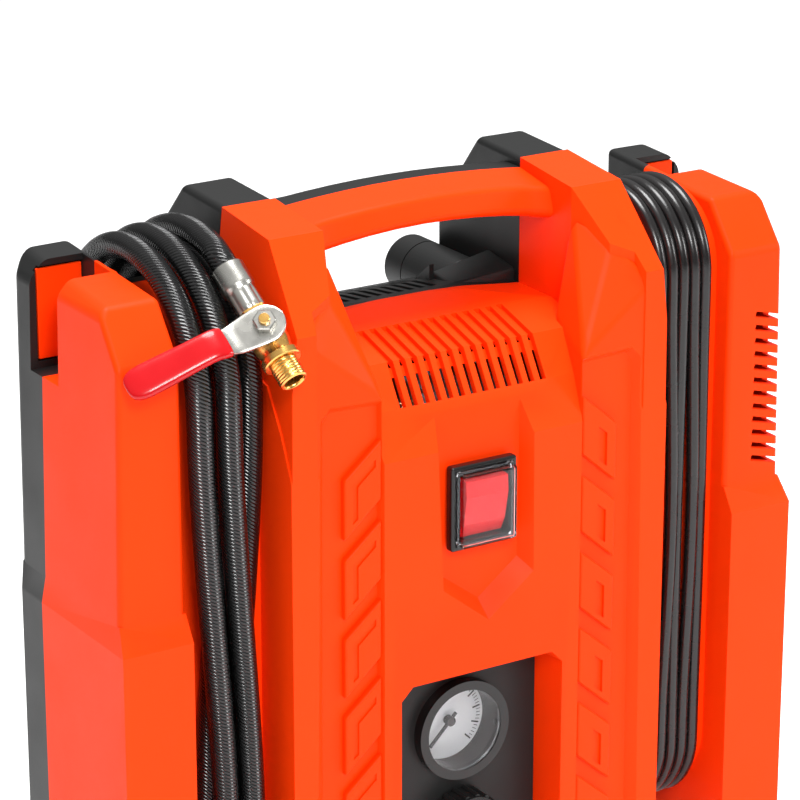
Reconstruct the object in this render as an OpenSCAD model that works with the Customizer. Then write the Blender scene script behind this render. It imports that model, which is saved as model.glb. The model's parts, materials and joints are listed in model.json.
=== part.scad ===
// Portable case-type air compressor: two moulded half shells round an oil-free pump,
// with an air hose wound in the left channel and a mains cord wound in the right one.
// X is the width, -Y the front, +Z up. The origin is the bottom centre of the case.

/* [Case] */
// Depth of the case, front face to rear face
case_d = 146; // [144:1:150]
// Half width of the case at the lower part of a cheek
cheek_x = 185.5; // [184:0.5:188]
// Wall thickness of the shells
wall = 3.5; // [3:0.5:4]
// Height of the rubber feet
foot_h = 8; // [6:1:8]

/* [Handle] */
// Height of the top of the carry handle
handle_top = 366; // [364:1:368]
// Thickness of the carry handle, top to bottom
handle_t = 20; // [18:1:22]
// Depth of the carry handle, front to back
handle_d = 50; // [44:1:52]

/* [Hose and cord] */
// Outside diameter of the air hose
hose_d = 12; // [11:0.5:12]
// Outside diameter of the mains cord
cord_d = 6.5; // [6:0.5:7]

/* [Controls] */
// Outside diameter of the pressure gauge
gauge_d = 50; // [46:1:52]
// Outside diameter of the regulator knob
knob_d = 34; // [30:1:36]
// Angle that the rocker tips through between off and on
rocker_swing = 22; // [18:1:24]

/* [Pump] */
// Bore of the cylinder
bore_d = 48; // [46:1:50]
// Distance from the crank pin to the shaft axis
crank_throw = 7; // [6:0.5:7]

/* [Hidden] */

$fn = 64;
eps = 0.01;

shell_orange = [1.0, 0.27, 0.07];
shell_black = [0.16, 0.165, 0.17];
brass = [0.80, 0.58, 0.22];
steel = [0.72, 0.73, 0.75];
dark = [0.09, 0.09, 0.1];

// ---- case outline ----
front_y = -case_d/2;
rear_y = case_d/2;
base_z = foot_h;
tower_in = 67.5;        // inner side of a tower
tower_out = 103;        // outer side of a tower
cheek_in = 150;         // inner side of a cheek
top_z = 367;            // top of a tower at the parting plane
cheek_split = 13;       // parting plane of the cheeks
slot_front = -3;        // pocket in the top of a cheek
slot_rear = 27;
slot_floor = 298;

// ---- winding channels ----
hose_core_r = 44;
hose_top = 295;
hose_bottom = 81;
hose_layer_step = 10.5;
cord_core_r = 34;
cord_core_y = -14;
cord_top = 311;
cord_bottom = 68;

// ---- controls ----
recess_floor = -67.5;   // face that the switch stands on
panel_y = -52;          // face of the control panel
panel_z0 = 38;
panel_z1 = 144;
panel_half = 44;
switch_z = 228;
gauge_at = [0, -58, 108];
knob_at = [0, -52, 60];
manifold_y = -37;
rocker_axis = [0, -66, switch_z];

intake_x = 55;
intake_z = 297;
intake_r = 14.5;

// ---- pump, on one horizontal shaft ----
shaft_r = 4.97;
rod_y = 41;            // long screws that clamp the motor
shaft_y = 8;
shaft_z = 150;
crank_x = 50;
rod_len = 58;
cyl_bottom = 190;
cyl_top = 242;
bore_r = bore_d/2;

// ---- ball valve on the end of the hose ----
valve_start = [-115, -38.9, 351.1];
valve_dir = [0.09, -0.77, -0.632];
valve_len = 63;
stem_dir = square_to(valve_dir, [-0.425, -0.605, 0.673]);
ball_at = valve_start + 38*valve_dir;
hose_tail = [valve_start, [-115.8, -32, 356.8], [-113, -10, 357]];

// ---- route of the mains cord from its gland, and on to its plug ----
cord_in_route = [[108.6, 27, 163], [111.5, 26, 154], [113.2, 24.5, 144], [113.7, 23.6, 134],
  [113.7, 23.6, 126]];
cord_out_route = [[146.5, 23.6, 190], [145, 25.5, 177], [141, 32, 162], [135, 40.5, 147], [129.5, 47.5, 132],
  [127, 50, 117.3]];
gland_at = [99, 27, 185];
gland_dir = [0.4, 0, -0.917];

function unit(v) = v/norm(v);
function square_to(d, hint) = unit(hint - (hint*d)*d/(d*d));

// Extrudes an outline in Y and Z along X
module yz(pts, x0, x1) {
  translate([x0, 0, 0]) rotate([90, 0, 90]) linear_extrude(x1 - x0) polygon(pts);
}
// Extrudes an outline in X and Z along Y
module xz(pts, y0, y1) {
  translate([0, y1, 0]) rotate([90, 0, 0]) linear_extrude(y1 - y0) polygon(pts);
}
// Extrudes an outline in X and Y along Z
module xy(pts, z0, z1) { translate([0, 0, z0]) linear_extrude(z1 - z0) polygon(pts); }
module box(a, b) { translate(a) cube(b - a); }
module both_sides() { children(); mirror([1, 0, 0]) children(); }
module along_x(x0, x1, y, z, r) { translate([x0, y, z]) rotate([0, 90, 0]) cylinder(r = r, h = x1 - x0); }
module along_y(x, y0, y1, z, r) { translate([x, y0, z]) rotate([-90, 0, 0]) cylinder(r = r, h = y1 - y0); }
// Turns +Z onto a direction
module aim(d) {
  u = unit(d);
  rotate([0, acos(u[2]), atan2(u[1], u[0])]) children();
}

// Round bar from one point to another
module rod(a, b, r) { translate(a) aim(b - a) cylinder(r = r, h = norm(b - a)); }

// Upright block with half-round ends, the shape of a winding core
module core(x0, x1, y, z0, z1, r) {
  along_x(x0, x1, y, z0, r);
  along_x(x0, x1, y, z1, r);
  box([x0, y - r, z0], [x1, y + r, z1]);
}

// ---- outer form of the case, both halves together; g shrinks it for the hollow inside ----
module centre_form(g) {
  intersection() {
    yz([[front_y + g, base_z + 6], [front_y + g, 258 - g/2], [-52 + g/2, 298 - g], [-26, 305.5 - g],
        [0, 309.5 - g], [26, 306 - g], [48 - g/3, 300 - g], [70 - g, 262 - g], [rear_y - g, 254 - g],
        [rear_y - g, base_z + 6], [rear_y - 6, base_z + g], [front_y + 6, base_z + g]],
       -tower_out + g, tower_out - g);
    xz([[-tower_out + g, 0], [-tower_out + g, 306 - g], [-58, 306 - g], [-34, 308.7 - g], [0, 310 - g],
        [34, 308.7 - g], [58, 306 - g], [tower_out - g, 306 - g], [tower_out - g, 0]], -90, 90);
  }
}
module tower_form(g) {
  intersection() {
    yz([[front_y + g, base_z + 6], [front_y + g, 325 - g/2], [-42.5 + g/2, 362 - g], [0, top_z - g],
        [38 - g/2, top_z + 2 - g], [70 - g, 330 - g/2], [rear_y - g, 322], [rear_y - g, base_z + 6],
        [rear_y - 6, base_z + g], [front_y + 6, base_z + g]], 60, 110);
    xz([[tower_in + g, 0], [tower_in + g, 380], [95 - g, 380], [95 - g, top_z], [102 - g, 300],
        [tower_out - g, 200], [tower_out - g, 0]], -90, 90);
    xy([[tower_in + g, -42.5 + g/2], [76 + g, -62 + g], [87.5 + g, -66 + g], [91.3 + g, -80],
        [120, -80], [120, 80], [tower_in + g, 80]], 0, 400);
  }
}
module cheek_form(g) {
  intersection() {
    yz([[front_y + 7 + g, base_z + 6], [front_y + 7 + g, 190 - g/2], [-59 + g, 202], [-59 + g, 320 - g/2],
        [-41 + g/2, 344 - g], [45 - g, 350 - g], [45 - g, base_z + 6], [39, base_z + g],
        [-60, base_z + g]], 140, 200);
    xz([[cheek_in + g, 0], [cheek_in + g, 360], [180 - g, 360], [180 - g, 344], [181.5 - g, 202],
        [cheek_x - g, 190], [cheek_x - g, base_z + 6], [cheek_x - 6, base_z + g], [cheek_x - 6, 0]],
       -90, 90);
    xy([[140, -90], [200, -90], [200, 20], [cheek_x - g, 34 - g/2], [175 - g/2, 45 - g], [175, 60],
        [140, 60]], 0, 400);
    // chamfered outer edge of the rear cap
    union() {
      box([140, -90, 0], [200, slot_rear, 400]);
      xz([[140, 0], [140, 400], [170 - g, 400], [170 - g, 350], [182 - g, 337], [200, 337], [200, 0]],
         slot_rear - 1, 60);
    }
  }
}
// Slope that joins the deck and the steep face to a tower
module valley_form() {
  hull() for (p = [[55, -71.9, 200], [55, -71.9, 262], [58, -52, 297], [58, -44, 301], [67.6, -43, 350],
                   [76, -61.5, 334], [88, -66.5, 328], [91.5, -71.9, 318], [91.5, -71.9, 200],
                   [91.5, -50, 200], [67.6, -43, 200]])
    translate(p) cube(0.02, center = true);
}
module handle_form() {
  b = handle_top - handle_t;
  h = handle_d/2;
  yz([[-h + 4, b], [-h, b + 3], [-h + 4, b + 16], [0, handle_top], [12, handle_top], [h - 4, b + 15],
      [h, b + 6], [h - 2, b + 2], [h - 8, b]], -tower_in - 1, tower_in + 1);
}
module outer_form() {
  centre_form(0);
  both_sides() {
    tower_form(0);
    cheek_form(0);
    valley_form();
    xz([[57, 296], [57, 305.5], [tower_in + 1, 342], [tower_in + 1, 296]], -44, 44);
  }
  handle_form();
  core(-cheek_in - 1, -tower_out + 1, 0, hose_bottom, hose_top, hose_core_r);
  core(tower_out - 1, cheek_in + 1, cord_core_y, cord_bottom, cord_top, cord_core_r);
}
module inner_form() {
  difference() {
    centre_form(wall);
    box([-panel_half - wall, -80, panel_z0 - wall], [panel_half + wall, panel_y + 3 + wall, panel_z1 + wall]);
    box([-31, -80, 164], [31, recess_floor + wall, 320]);
  }
  both_sides() {
    tower_form(wall);
    box([tower_in + wall, -60, 236], [88, -38, 322]);
    difference() {
      cheek_form(wall);
      box([140, slot_front - wall, slot_floor - wall], [200, slot_rear + wall, 400]);
    }
  }
  core(-cheek_in - wall - eps, -tower_out + wall + eps, 0, hose_bottom, hose_top, hose_core_r - wall);
  core(tower_out - wall - eps, cheek_in + wall + eps, cord_core_y, cord_bottom, cord_top, cord_core_r - wall);
}
// Everything that belongs to the front half
module front_side() {
  box([-cheek_in, -100, 0], [cheek_in, 0, 400]);
  both_sides() {
    box([cheek_in - eps, -100, 0], [200, cheek_split, slot_floor]);
    box([cheek_in - eps, -100, 0], [200, slot_front, 400]);
    box([cheek_in - eps, -100, 0], [cheek_in + wall, 5, 400]);
  }
}
module cheek_pockets() {
  both_sides() box([cheek_in + wall, slot_front, slot_floor], [200, slot_rear, 400]);
}

// ---- screw places: towers, then cheeks ----
tower_screws = [for (s = [-1, 1], z = [28, 215, 335]) [s*90, z]];
cheek_screws = [for (s = [-1, 1], z = [32, 262]) [s*167, z]];

module boss(x, z, y0, y1, r) { along_y(x, y0, y1, z, r); }

vent_pitch = 6.4;
deck_vents = 13;
cheek_vents = 12;
rear_vents = 12;

module deck_vent_cuts() {
  for (i = [0 : deck_vents - 1]) {
    x = (i - (deck_vents - 1)/2)*vent_pitch;
    yz([[-26, 296], [-26, 314], [-56, 308], [-70, 281], [-58, 274], [-48, 288]], x - 1.7, x + 1.7);
  }
}
module cheek_vent_cuts() {
  for (i = [0 : cheek_vents - 1])
    translate([166, -64, 286 - i*6.7]) rotate([0, 25, 0]) cube([26, 16, 2.8]);
}
module hatch_pads() {
  for (k = [0 : 4], s = [-1, 1]) {
    z = 271 - 39*k;
    xz([for (p = [[54, z], [75, z - 16], [75, z - 45], [54, z - 28]]) [s*p[0], p[1]]], front_y - 0.2, -71);
  }
}
module switch_recess() {
  xz([[-26, 276], [26, 276], [23, 199], [0, 186], [-23, 199]], front_y - 5, recess_floor);
  hull() {
    xz([[-26.5, 262], [26.5, 262], [26, 189], [0, 170], [-26, 189]], front_y - 5, front_y + 0.1);
    xz([[-26, 262], [26, 262], [23, 199], [0, 186], [-23, 199]], recess_floor - 0.1, recess_floor);
  }
}

module front_shell() {
  color(shell_orange) {
    difference() {
      union() {
        intersection() {
          difference() { outer_form(); inner_form(); cheek_pockets(); }
          front_side();
        }
        hatch_pads();
        for (p = tower_screws) boss(p[0], p[1], p[1] > 300 ? -58 : -71, 0, 6);
        for (p = cheek_screws) boss(p[0], p[1], p[1] < 190 ? -64 : -57, cheek_split, 6);
        for (x = [-50, 50]) translate([x, -25, base_z + 1]) cylinder(r = 8, h = 61);
      }
      deck_vent_cuts();
      cheek_vent_cuts();
      switch_recess();
      box([-panel_half, -80, panel_z0], [panel_half, panel_y + 3, panel_z1]);
      box([-panel_half + 4, -80, panel_z0 + 4], [panel_half - 4, -40, panel_z1 - 4]);
      box([-15.5, -80, switch_z - 18], [15.5, -50, switch_z + 18]);
      for (p = tower_screws) along_y(p[0], -24, 1, p[1], 1.6);
      for (p = cheek_screws) along_y(p[0], -24, 20, p[1], 1.6);
    }
    both_sides() {
      box([cheek_in + wall, slot_front - 1, slot_floor + 4], [cheek_in + wall + 1.6, slot_rear, 344]);
      box([cheek_in + wall, slot_rear - 2, slot_floor + 4], [176, slot_rear, 346]);
    }
  }
}

module rear_vent_cuts() {
  for (i = [0 : rear_vents - 1]) {
    x = -42 + 6*i;
    yz([[8, 296], [8, 314], [40, 308], [40, 290]], x - 1.7, x + 1.7);
  }
  for (i = [0 : 9]) box([-48, 60, 110 + 9*i], [48, 80, 114.5 + 9*i]);
}

module rear_shell() {
  color(shell_black) difference() {
    union() {
      difference() { outer_form(); inner_form(); cheek_pockets(); front_side(); }
      for (p = tower_screws) boss(p[0], p[1], 0, p[1] > 300 ? 58 : 71, 7);
      for (p = cheek_screws) boss(p[0], p[1], cheek_split, 43, 6.5);
      for (x = [-50, 50]) translate([x, 44, base_z + 1]) cylinder(r = 8, h = 61);
      // housing of the intake filter
      along_y(intake_x, 28, 64, intake_z, intake_r);
      // shelf that the mains plug stands on
      box([tower_out - 1, 28, 66], [cheek_in + 1, 70, 70]);
      // rib on the rear deck
      yz([[24, 300], [24, 309], [40, 300]], 31, 33);
    }
    along_y(intake_x, 20, 65, intake_z, 11.5);
    along_y(intake_x, 64, 80, intake_z, intake_r + 0.3);
    translate([intake_x, 33.5, 275]) cylinder(r = 3.1, h = 20);
    rear_vent_cuts();
    for (p = tower_screws) {
      along_y(p[0], 20, 80, p[1], 4.2);
      along_y(p[0], -1, 21, p[1], 2.2);
    }
    for (p = cheek_screws) {
      along_y(p[0], 30, 60, p[1], 4.2);
      along_y(p[0], 5, 31, p[1], 2.2);
    }
    // holes in the shelf for the two pins of the plug
    for (s = [-1, 1]) translate([plug_at[0] + 9.5*s, plug_at[1], 60]) cylinder(r = 3.2, h = 20);
    // hole for the hose outlet, and for the cord
    along_y(-112, 30, 60, 88, 6.2);
    translate(gland_at - 12*gland_dir) aim(gland_dir) cylinder(r = 6.1, h = 40);
  }
}

// ---- control panel ----
module control_panel() {
  color(dark) difference() {
    box([-panel_half + 0.2, panel_y, panel_z0 + 0.2], [panel_half - 0.2, panel_y + 3, panel_z1 - 0.2]);
    along_y(gauge_at[0], -60, -40, gauge_at[2], gauge_d/2 - 2.5);
    along_y(knob_at[0], -60, -40, knob_at[2], 6.2);
  }
}
module gauge_case() {
  color("silver") difference() {
    union() {
      along_y(gauge_at[0], -58, panel_y, gauge_at[2], gauge_d/2);
      along_y(gauge_at[0], panel_y - 1, -34, gauge_at[2], gauge_d/2 - 2.7);
      along_y(gauge_at[0], -34.5, -28, gauge_at[2], 5);
    }
    along_y(gauge_at[0], -70, -40, gauge_at[2], gauge_d/2 - 4.5);
  }
}
module gauge_dial() {
  color("white") difference() {
    along_y(gauge_at[0], -41.2, -40, gauge_at[2], gauge_d/2 - 4.5);
    along_y(gauge_at[0], -43, -39, gauge_at[2], 1.05);
  }
}
module gauge_needle() {
  color("black") {
    along_y(gauge_at[0], -45.5, -42, gauge_at[2], 2.4);
    along_y(gauge_at[0], -42.1, -40.2, gauge_at[2], 1);
    translate([gauge_at[0], -44, gauge_at[2]]) rotate([0, -135, 0]) box([-0.7, -0.5, -5], [0.7, 0.5, 16]);
  }
}
module gauge_lens() { color([0.8, 0.9, 0.95, 0.4]) along_y(gauge_at[0], -57, -55, gauge_at[2], gauge_d/2 - 4.5); }
module regulator_body() {
  color(brass) {
    difference() {
      union() {
        along_y(knob_at[0], panel_y + 3.1, -24, knob_at[2], 13);
        along_y(knob_at[0], panel_y - 0.5, panel_y + 3.5, knob_at[2], 6);
        along_x(-24, 24, manifold_y, knob_at[2], 5.5);
      }
      along_y(knob_at[0], -60, -36, knob_at[2], 4);
    }
  }
}
module regulator_knob() {
  color(dark) {
    along_y(knob_at[0], -66, panel_y - 1.5, knob_at[2], knob_d/2 - 1.2);
    for (i = [0 : 17]) translate([knob_at[0], 0, knob_at[2]]) rotate([0, i*20, 0])
      translate([knob_d/2 - 1.4, -65, 0]) rotate([-90, 0, 0]) cylinder(r = 1.4, h = 12);
    along_y(knob_at[0], panel_y - 2, -38, knob_at[2], 3.95);
  }
}

// ---- switch ----
module switch_housing() {
  color(dark) difference() {
    union() {
      box([-18, front_y, switch_z - 20.7], [18, recess_floor - 0.05, switch_z + 20.7]);
      box([-15.3, recess_floor - 1, switch_z - 17.8], [15.3, -40, switch_z + 17.8]);
    }
    box([-13, -80, switch_z - 16.2], [13, -52, switch_z + 16.2]);
    along_x(-14.6, 14.6, rocker_axis[1], rocker_axis[2], 2.05);
  }
  color(steel) for (x = [-7, 7], z = [-9, 0, 9])
    box([x - 0.4, -41, switch_z + z - 3], [x + 0.4, -31, switch_z + z + 3]);
}
module switch_rocker() {
  color([0.85, 0.05, 0.05]) translate(rocker_axis) rotate([rocker_swing/2, 0, 0]) {
    rotate([90, 0, 90]) translate([0, 0, -11.5]) linear_extrude(23)
      polygon([[5, -6], [-1, -14.5], [-6, -14.5], [-8, -7], [-8, 7], [-6, 14.5], [-1, 14.5], [5, 6]]);
    along_x(-14.5, 14.5, 0, 0, 2);
  }
}
module switch_cover() {
  color([0.9, 0.9, 0.92, 0.3]) difference() {
    translate([0, -78.5, switch_z]) rotate([-90, 0, 0]) linear_extrude(5.45)
      polygon([[-15, -18], [15, -18], [15, 18], [-15, 18]]);
    box([-14, -77.5, switch_z - 17], [14, -70, switch_z + 17]);
  }
}

// ---- hose ----
module winding_ring(x0, x1, y, z0, z1, r_in, r_out) {
  difference() {
    core(x0, x1, y, z0, z1, r_out);
    core(x0 - 1, x1 + 1, y, z0, z1, r_in);
  }
}
hose_in = hose_core_r + 0.4;
hose_out = hose_core_r + hose_d + hose_layer_step + 0.9;
module hose_fitting() {
  color(brass) {
    along_y(-112, 36, 50.5, 88, 6);
    translate([-112, 50.5, 88]) sphere(r = 6);
    translate([-112, 50.5, 88]) cylinder(r = 4.5, h = 8);
    translate([-112, 50.5, 95]) cylinder(r = 6.4, h = 20);
  }
}
module hose_winding() {
  color(dark) difference() {
    winding_ring(-149.5, -103.5, 0, hose_bottom, hose_top, hose_in, hose_out);
    // the outer layer is one turn short in front, where the hose ends in its valve
    box([-123.5, -90, 10], [-100, -31, 380]);
    // room for the outlet fitting
    box([-120, 40, 76], [-104, 70, 115]);
  }
  color(dark) {
    intersection() {
      winding_ring(-123.51, -103.5, 0, hose_bottom, hose_top, hose_in, hose_in + hose_d);
      box([-123.51, -90, 10], [-103.5, -30.9, 360]);
    }
    for (i = [0, 1]) rod(hose_tail[i], hose_tail[i + 1], hose_d/2 - 0.1);
    translate(hose_tail[1]) sphere(r = hose_d/2 + 0.1);
  }
}
module hose_ferrule() {
  color(steel) translate(valve_start) aim(valve_dir) {
    cylinder(r = 7.9, h = 13);
    translate([0, 0, 12.9]) cylinder(r = 6.9, h = 12.1);
  }
}
module valve_body() {
  color(brass) difference() {
    union() {
      translate(valve_start + 25*valve_dir) aim(valve_dir) {
        cylinder(r = 8.4, h = 6, $fn = 6);
        translate([0, 0, 5.9]) cylinder(r = 8.6, h = 18.2);
        translate([0, 0, 24]) cylinder(r = 9, h = 4, $fn = 6);
        translate([0, 0, 27.9]) cylinder(r = 6.58, h = valve_len - 25 - 27.9);
      }
      translate(ball_at) aim(stem_dir) cylinder(r = 5, h = 11.5);
    }
    translate(valve_start + 24*valve_dir) aim(valve_dir) cylinder(r = 4, h = 60);
    translate(ball_at) sphere(r = 6.6);
    translate(ball_at) aim(stem_dir) cylinder(r = 2.55, h = 20);
  }
}
// Ball and stem turn with the lever; the ball's bore lies along the lever
lever_dir = unit(cross(stem_dir, unit(valve_dir)));
lever_side = (lever_dir[0] < 0) ? 1 : -1;
module valve_ball() {
  color("silver") on_stem() {
    difference() {
      sphere(r = 6.5);
      translate([-10, 0, 0]) rotate([0, 90, 0]) cylinder(r = 4, h = 20);
    }
    translate([0, 0, 5.5]) cylinder(r = 2.5, h = 14);
  }
}
// Places children on the stem: Z along the stem, X along the lever
module on_stem() {
  z = unit(stem_dir);
  x = lever_side*lever_dir;
  y = cross(z, x);
  multmatrix([[x[0], y[0], z[0], ball_at[0]], [x[1], y[1], z[1], ball_at[1]], [x[2], y[2], z[2], ball_at[2]],
    [0, 0, 0, 1]])
    children();
}
module lever_nut() { color(steel) on_stem() translate([0, 0, 14.2]) difference() {
  cylinder(r = 5, h = 3.5, $fn = 6);
  translate([0, 0, -1]) cylinder(r = 2.5, h = 9);
} }
module valve_lever() {
  color("silver") on_stem() {
    difference() {
      union() {
        translate([0, 0, 12]) cylinder(r = 9, h = 2);
        translate([0, -7.5, 12]) cube([16, 15, 2]);
      }
      translate([0, 0, 10]) cylinder(r = 2.5, h = 6);
    }
    translate([0, -6, 0]) rotate([-90, 0, 0]) linear_extrude(12)
      polygon([[15, -14], [15, -12], [24, -17], [62, -17], [62, -19], [23.4, -19]]);
  }
}
module lever_grip() {
  color([0.85, 0.04, 0.06]) on_stem() difference() {
    union() {
      translate([26, -7, 15.6]) cube([32, 14, 4.8]);
      translate([58, 0, 15.6]) cylinder(r = 7, h = 4.8);
    }
    translate([20, -6, 17]) cube([42, 12, 2]);
  }
}

// ---- cord ----
cord_in = cord_core_r + 0.4;
cord_out = cord_core_r + cord_d + 0.6;
function ring(p, d, r) = let (z = unit(d), x = unit(cross(abs(z[0]) < 0.9 ? [1, 0, 0] : [0, 1, 0], z)),
  y = cross(z, x)) [for (i = [0 : 9]) p + r*cos(36*i)*x + r*sin(36*i)*y];
module tube(route, r) {
  n = len(route);
  rings = [for (i = [0 : n - 1]) each ring(route[i], route[min(i + 1, n - 1)] - route[max(i - 1, 0)], r)];
  sides = [for (i = [0 : n - 2], k = [0 : 9]) [10*i + k, 10*(i + 1) + k, 10*(i + 1) + (k + 1)%10,
    10*i + (k + 1)%10]];
  polyhedron(rings, concat(sides, [[for (k = [0 : 9]) k], [for (k = [9 : -1 : 0]) 10*(n - 1) + k]]));
}
module cord_winding() {
  color(dark) difference() {
    winding_ring(110.4, 149.8, cord_core_y, cord_bottom, cord_top, cord_in, cord_out);
    // the first and last stretch at the rear are drawn as the lead
    box([109, 18, 126], [117.5, 31, 175]);
    box([139, 18, 164], [151, 30, 190]);
  }
}
module cord_lead() {
  color(dark) {
    tube(cord_in_route, cord_d/2);
    tube(cord_out_route, cord_d/2);
  }
}
module cord_relief() {
  color(dark) {
    translate(gland_at - 6*gland_dir) aim(gland_dir) cylinder(r = 6, h = 12);
    translate(gland_at + 5.9*gland_dir) aim(gland_dir) cylinder(r1 = 5.7, r2 = 4, h = 18.1);
    along_x(96.4, 99.4, gland_at[1], gland_at[2] + 3, 9);
  }
}
plug_at = [127, 50, 70];
module mains_plug() {
  color(dark) translate(plug_at) {
    cylinder(r = 18.5, h = 22);
    translate([0, 0, 21.9]) cylinder(r = 12, h = 10);
    translate([0, 0, 31.8]) cylinder(r = 6, h = 15.5);
  }
}
module plug_pins() {
  color(steel) for (s = [-1, 1]) translate([plug_at[0] + 9.5*s, plug_at[1], 51]) cylinder(r = 2.4, h = 19);
}

// ---- feet and screws ----
module rubber_feet() {
  color(dark) for (s = [-1, 1]) {
    for (y = [-42, 28]) translate([s*168, y, 0]) cylinder(r = 9, h = foot_h);
    for (y = [-55, 55]) translate([s*86, y, 0]) cylinder(r = 9, h = foot_h);
  }
}
module screw(x, z, y, len) {
  difference() {
    along_y(x, y, y + 3.4, z, 3.8);
    box([x - 2.6, y + 1.4, z - 0.5], [x + 2.6, y + 4, z + 0.5]);
    box([x - 0.5, y + 1.4, z - 2.6], [x + 0.5, y + 4, z + 2.6]);
  }
  along_y(x, y - len, y + 0.1, z, 1.55);
}
module shell_screws() {
  color(steel) {
    for (p = tower_screws) screw(p[0], p[1], 20.1, 38);
    for (p = cheek_screws) screw(p[0], p[1], 30.1, 46);
  }
}

// ---- motor ----
module motor_stator() {
  color([0.45, 0.46, 0.48]) difference() {
    intersection() {
      along_x(-45, 5, shaft_y, shaft_z, 44);
      box([-50, shaft_y - 38.5, shaft_z - 39], [10, shaft_y + 38.5, shaft_z + 39]);
    }
    along_x(-46, 6, shaft_y, shaft_z, 24.2);
    for (s = [-1, 1]) box([-46, shaft_y + s*29 - 5.2, shaft_z - 14], [6, shaft_y + s*29 + 5.2, shaft_z + 14]);
  }
}
module field_windings() {
  color([0.72, 0.33, 0.12]) for (s = [-1, 1])
    difference() {
      box([-53, shaft_y + s*29 - 4.5, shaft_z - 14], [13, shaft_y + s*29 + 4.5, shaft_z + 14]);
      box([-45.5, shaft_y + s*29 - 6, shaft_z - 5], [5.5, shaft_y + s*29 + 6, shaft_z + 5]);
    }
}
module motor_rotor() {
  color([0.4, 0.41, 0.43]) difference() {
    along_x(-43, 3, shaft_y, shaft_z, 23.6);
    along_x(-44, 4, shaft_y, shaft_z, shaft_r);
    for (i = [0 : 11]) translate([0, shaft_y, shaft_z]) rotate([30*i, 0, 0])
      box([-44, -1.6, 14], [4, 1.6, 25]);
  }
}
module commutator() {
  color([0.7, 0.4, 0.2]) difference() {
    along_x(-58, -46, shaft_y, shaft_z, 12);
    along_x(-59, -45, shaft_y, shaft_z, shaft_r);
  }
}
module brush_holders() {
  color([0.25, 0.2, 0.12]) for (s = [-1, 1]) {
    translate([0, shaft_y, shaft_z]) rotate([s*90 - 90, 0, 0]) {
      box([-56, -4, 12.4], [-48, 4, 34]);
      box([-60, -4, 26], [-55, 4, 34]);
    }
  }
}
module motor_shaft() { color(steel) along_x(-86, 42.5, shaft_y, shaft_z, shaft_r); }
module motor_bearings() {
  color("silver") for (x = [-68, 18]) difference() {
    along_x(x, x + 8, shaft_y, shaft_z, 13);
    along_x(x - 1, x + 9, shaft_y, shaft_z, 5);
  }
}
module bracket_arm(x0, x1, lug0, lug1) {
  difference() {
    union() {
      along_x(x0, x1, shaft_y, shaft_z, 20);
      box([x0, shaft_y - 40, shaft_z - 52], [x1, shaft_y + 40, shaft_z - 42]);
      box([x0, shaft_y - 12, shaft_z - 45], [x1, shaft_y + 12, shaft_z + 38]);
      box([x0, shaft_y - 45, shaft_z - 6], [x1, shaft_y + 45, shaft_z + 6]);
      for (s = [-1, 1]) box([lug0, shaft_y + s*39.5 - 5.5, shaft_z - 6], [lug1, shaft_y + s*39.5 + 5.5, shaft_z + 6]);
    }
    along_x(x0 - 1, x1 + 1, shaft_y, shaft_z, 13);
    for (s = [-1, 1]) along_x(-80, 40, shaft_y + s*rod_y, shaft_z, 2.6);
  }
}
module fan_bracket() {
  color([0.62, 0.63, 0.65]) {
    bracket_arm(-68, -60, -61, -45);
    box([-68, shaft_y - 40, 95], [-40, shaft_y + 40, 98.5]);
  }
}
module crank_bracket() {
  color([0.62, 0.63, 0.65]) {
    bracket_arm(18, 26, 5, 19);
    box([18, shaft_y - 40, 95], [64, shaft_y + 40, 98.5]);
    difference() {
      box([18, shaft_y - 32, 183], [82, shaft_y + 32, cyl_bottom]);
      translate([crank_x, shaft_y, 170]) cylinder(r = bore_r + 1.5, h = 40);
    }
  }
}
module bracket_rods() {
  color(steel) for (s = [-1, 1]) along_x(-71, 29, shaft_y + s*rod_y, shaft_z, 2.5);
}
module cooling_fan() {
  color([0.15, 0.15, 0.16]) translate([-86, shaft_y, shaft_z]) rotate([0, 90, 0]) {
    difference() {
      union() {
        cylinder(r = 11, h = 14);
        cylinder(r = 42, h = 1.6);
        for (i = [0 : 11]) rotate([0, 0, 30*i]) translate([10, -0.8, 1]) cube([32, 1.6, 12]);
      }
      translate([0, 0, -1]) cylinder(r = shaft_r, h = 20);
    }
  }
}

// ---- pump ----
module crank_disc() {
  color([0.5, 0.5, 0.52]) {
    difference() {
      along_x(34, 43, shaft_y, shaft_z, 16);
      along_x(33, 42.5, shaft_y, shaft_z, shaft_r);
    }
    along_x(42.9, 56, shaft_y, shaft_z + crank_throw, 5);
    box([34, shaft_y - 12, shaft_z - 26], [43, shaft_y + 12, shaft_z - 8]);
  }
}
module connecting_rod() {
  color([0.75, 0.76, 0.78]) difference() {
    union() {
      along_x(46, 54, shaft_y, shaft_z + crank_throw, 11);
      box([47, shaft_y - 4, shaft_z + crank_throw + 9], [53, shaft_y + 4, shaft_z + crank_throw + rod_len - 4]);
      along_x(46, 54, shaft_y, shaft_z + crank_throw + rod_len, 6);
    }
    along_x(45, 55, shaft_y, shaft_z + crank_throw, 5.04);
    along_x(45, 55, shaft_y, shaft_z + crank_throw + rod_len, 2.5);
  }
}
piston_top = cyl_top - 1.5;
piston_h = 34;
module pump_piston() {
  color("silver") translate([crank_x, shaft_y, piston_top - piston_h]) difference() {
    cylinder(r = bore_r - 0.25, h = piston_h);
    translate([0, 0, -1]) cylinder(r = bore_r - 4, h = piston_h - 2.5);
    translate([0, 0, piston_h - 8]) difference() {
      cylinder(r = bore_r + 1, h = 3);
      translate([0, 0, -1]) cylinder(r = bore_r - 1.8, h = 5);
    }
  }
}
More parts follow.
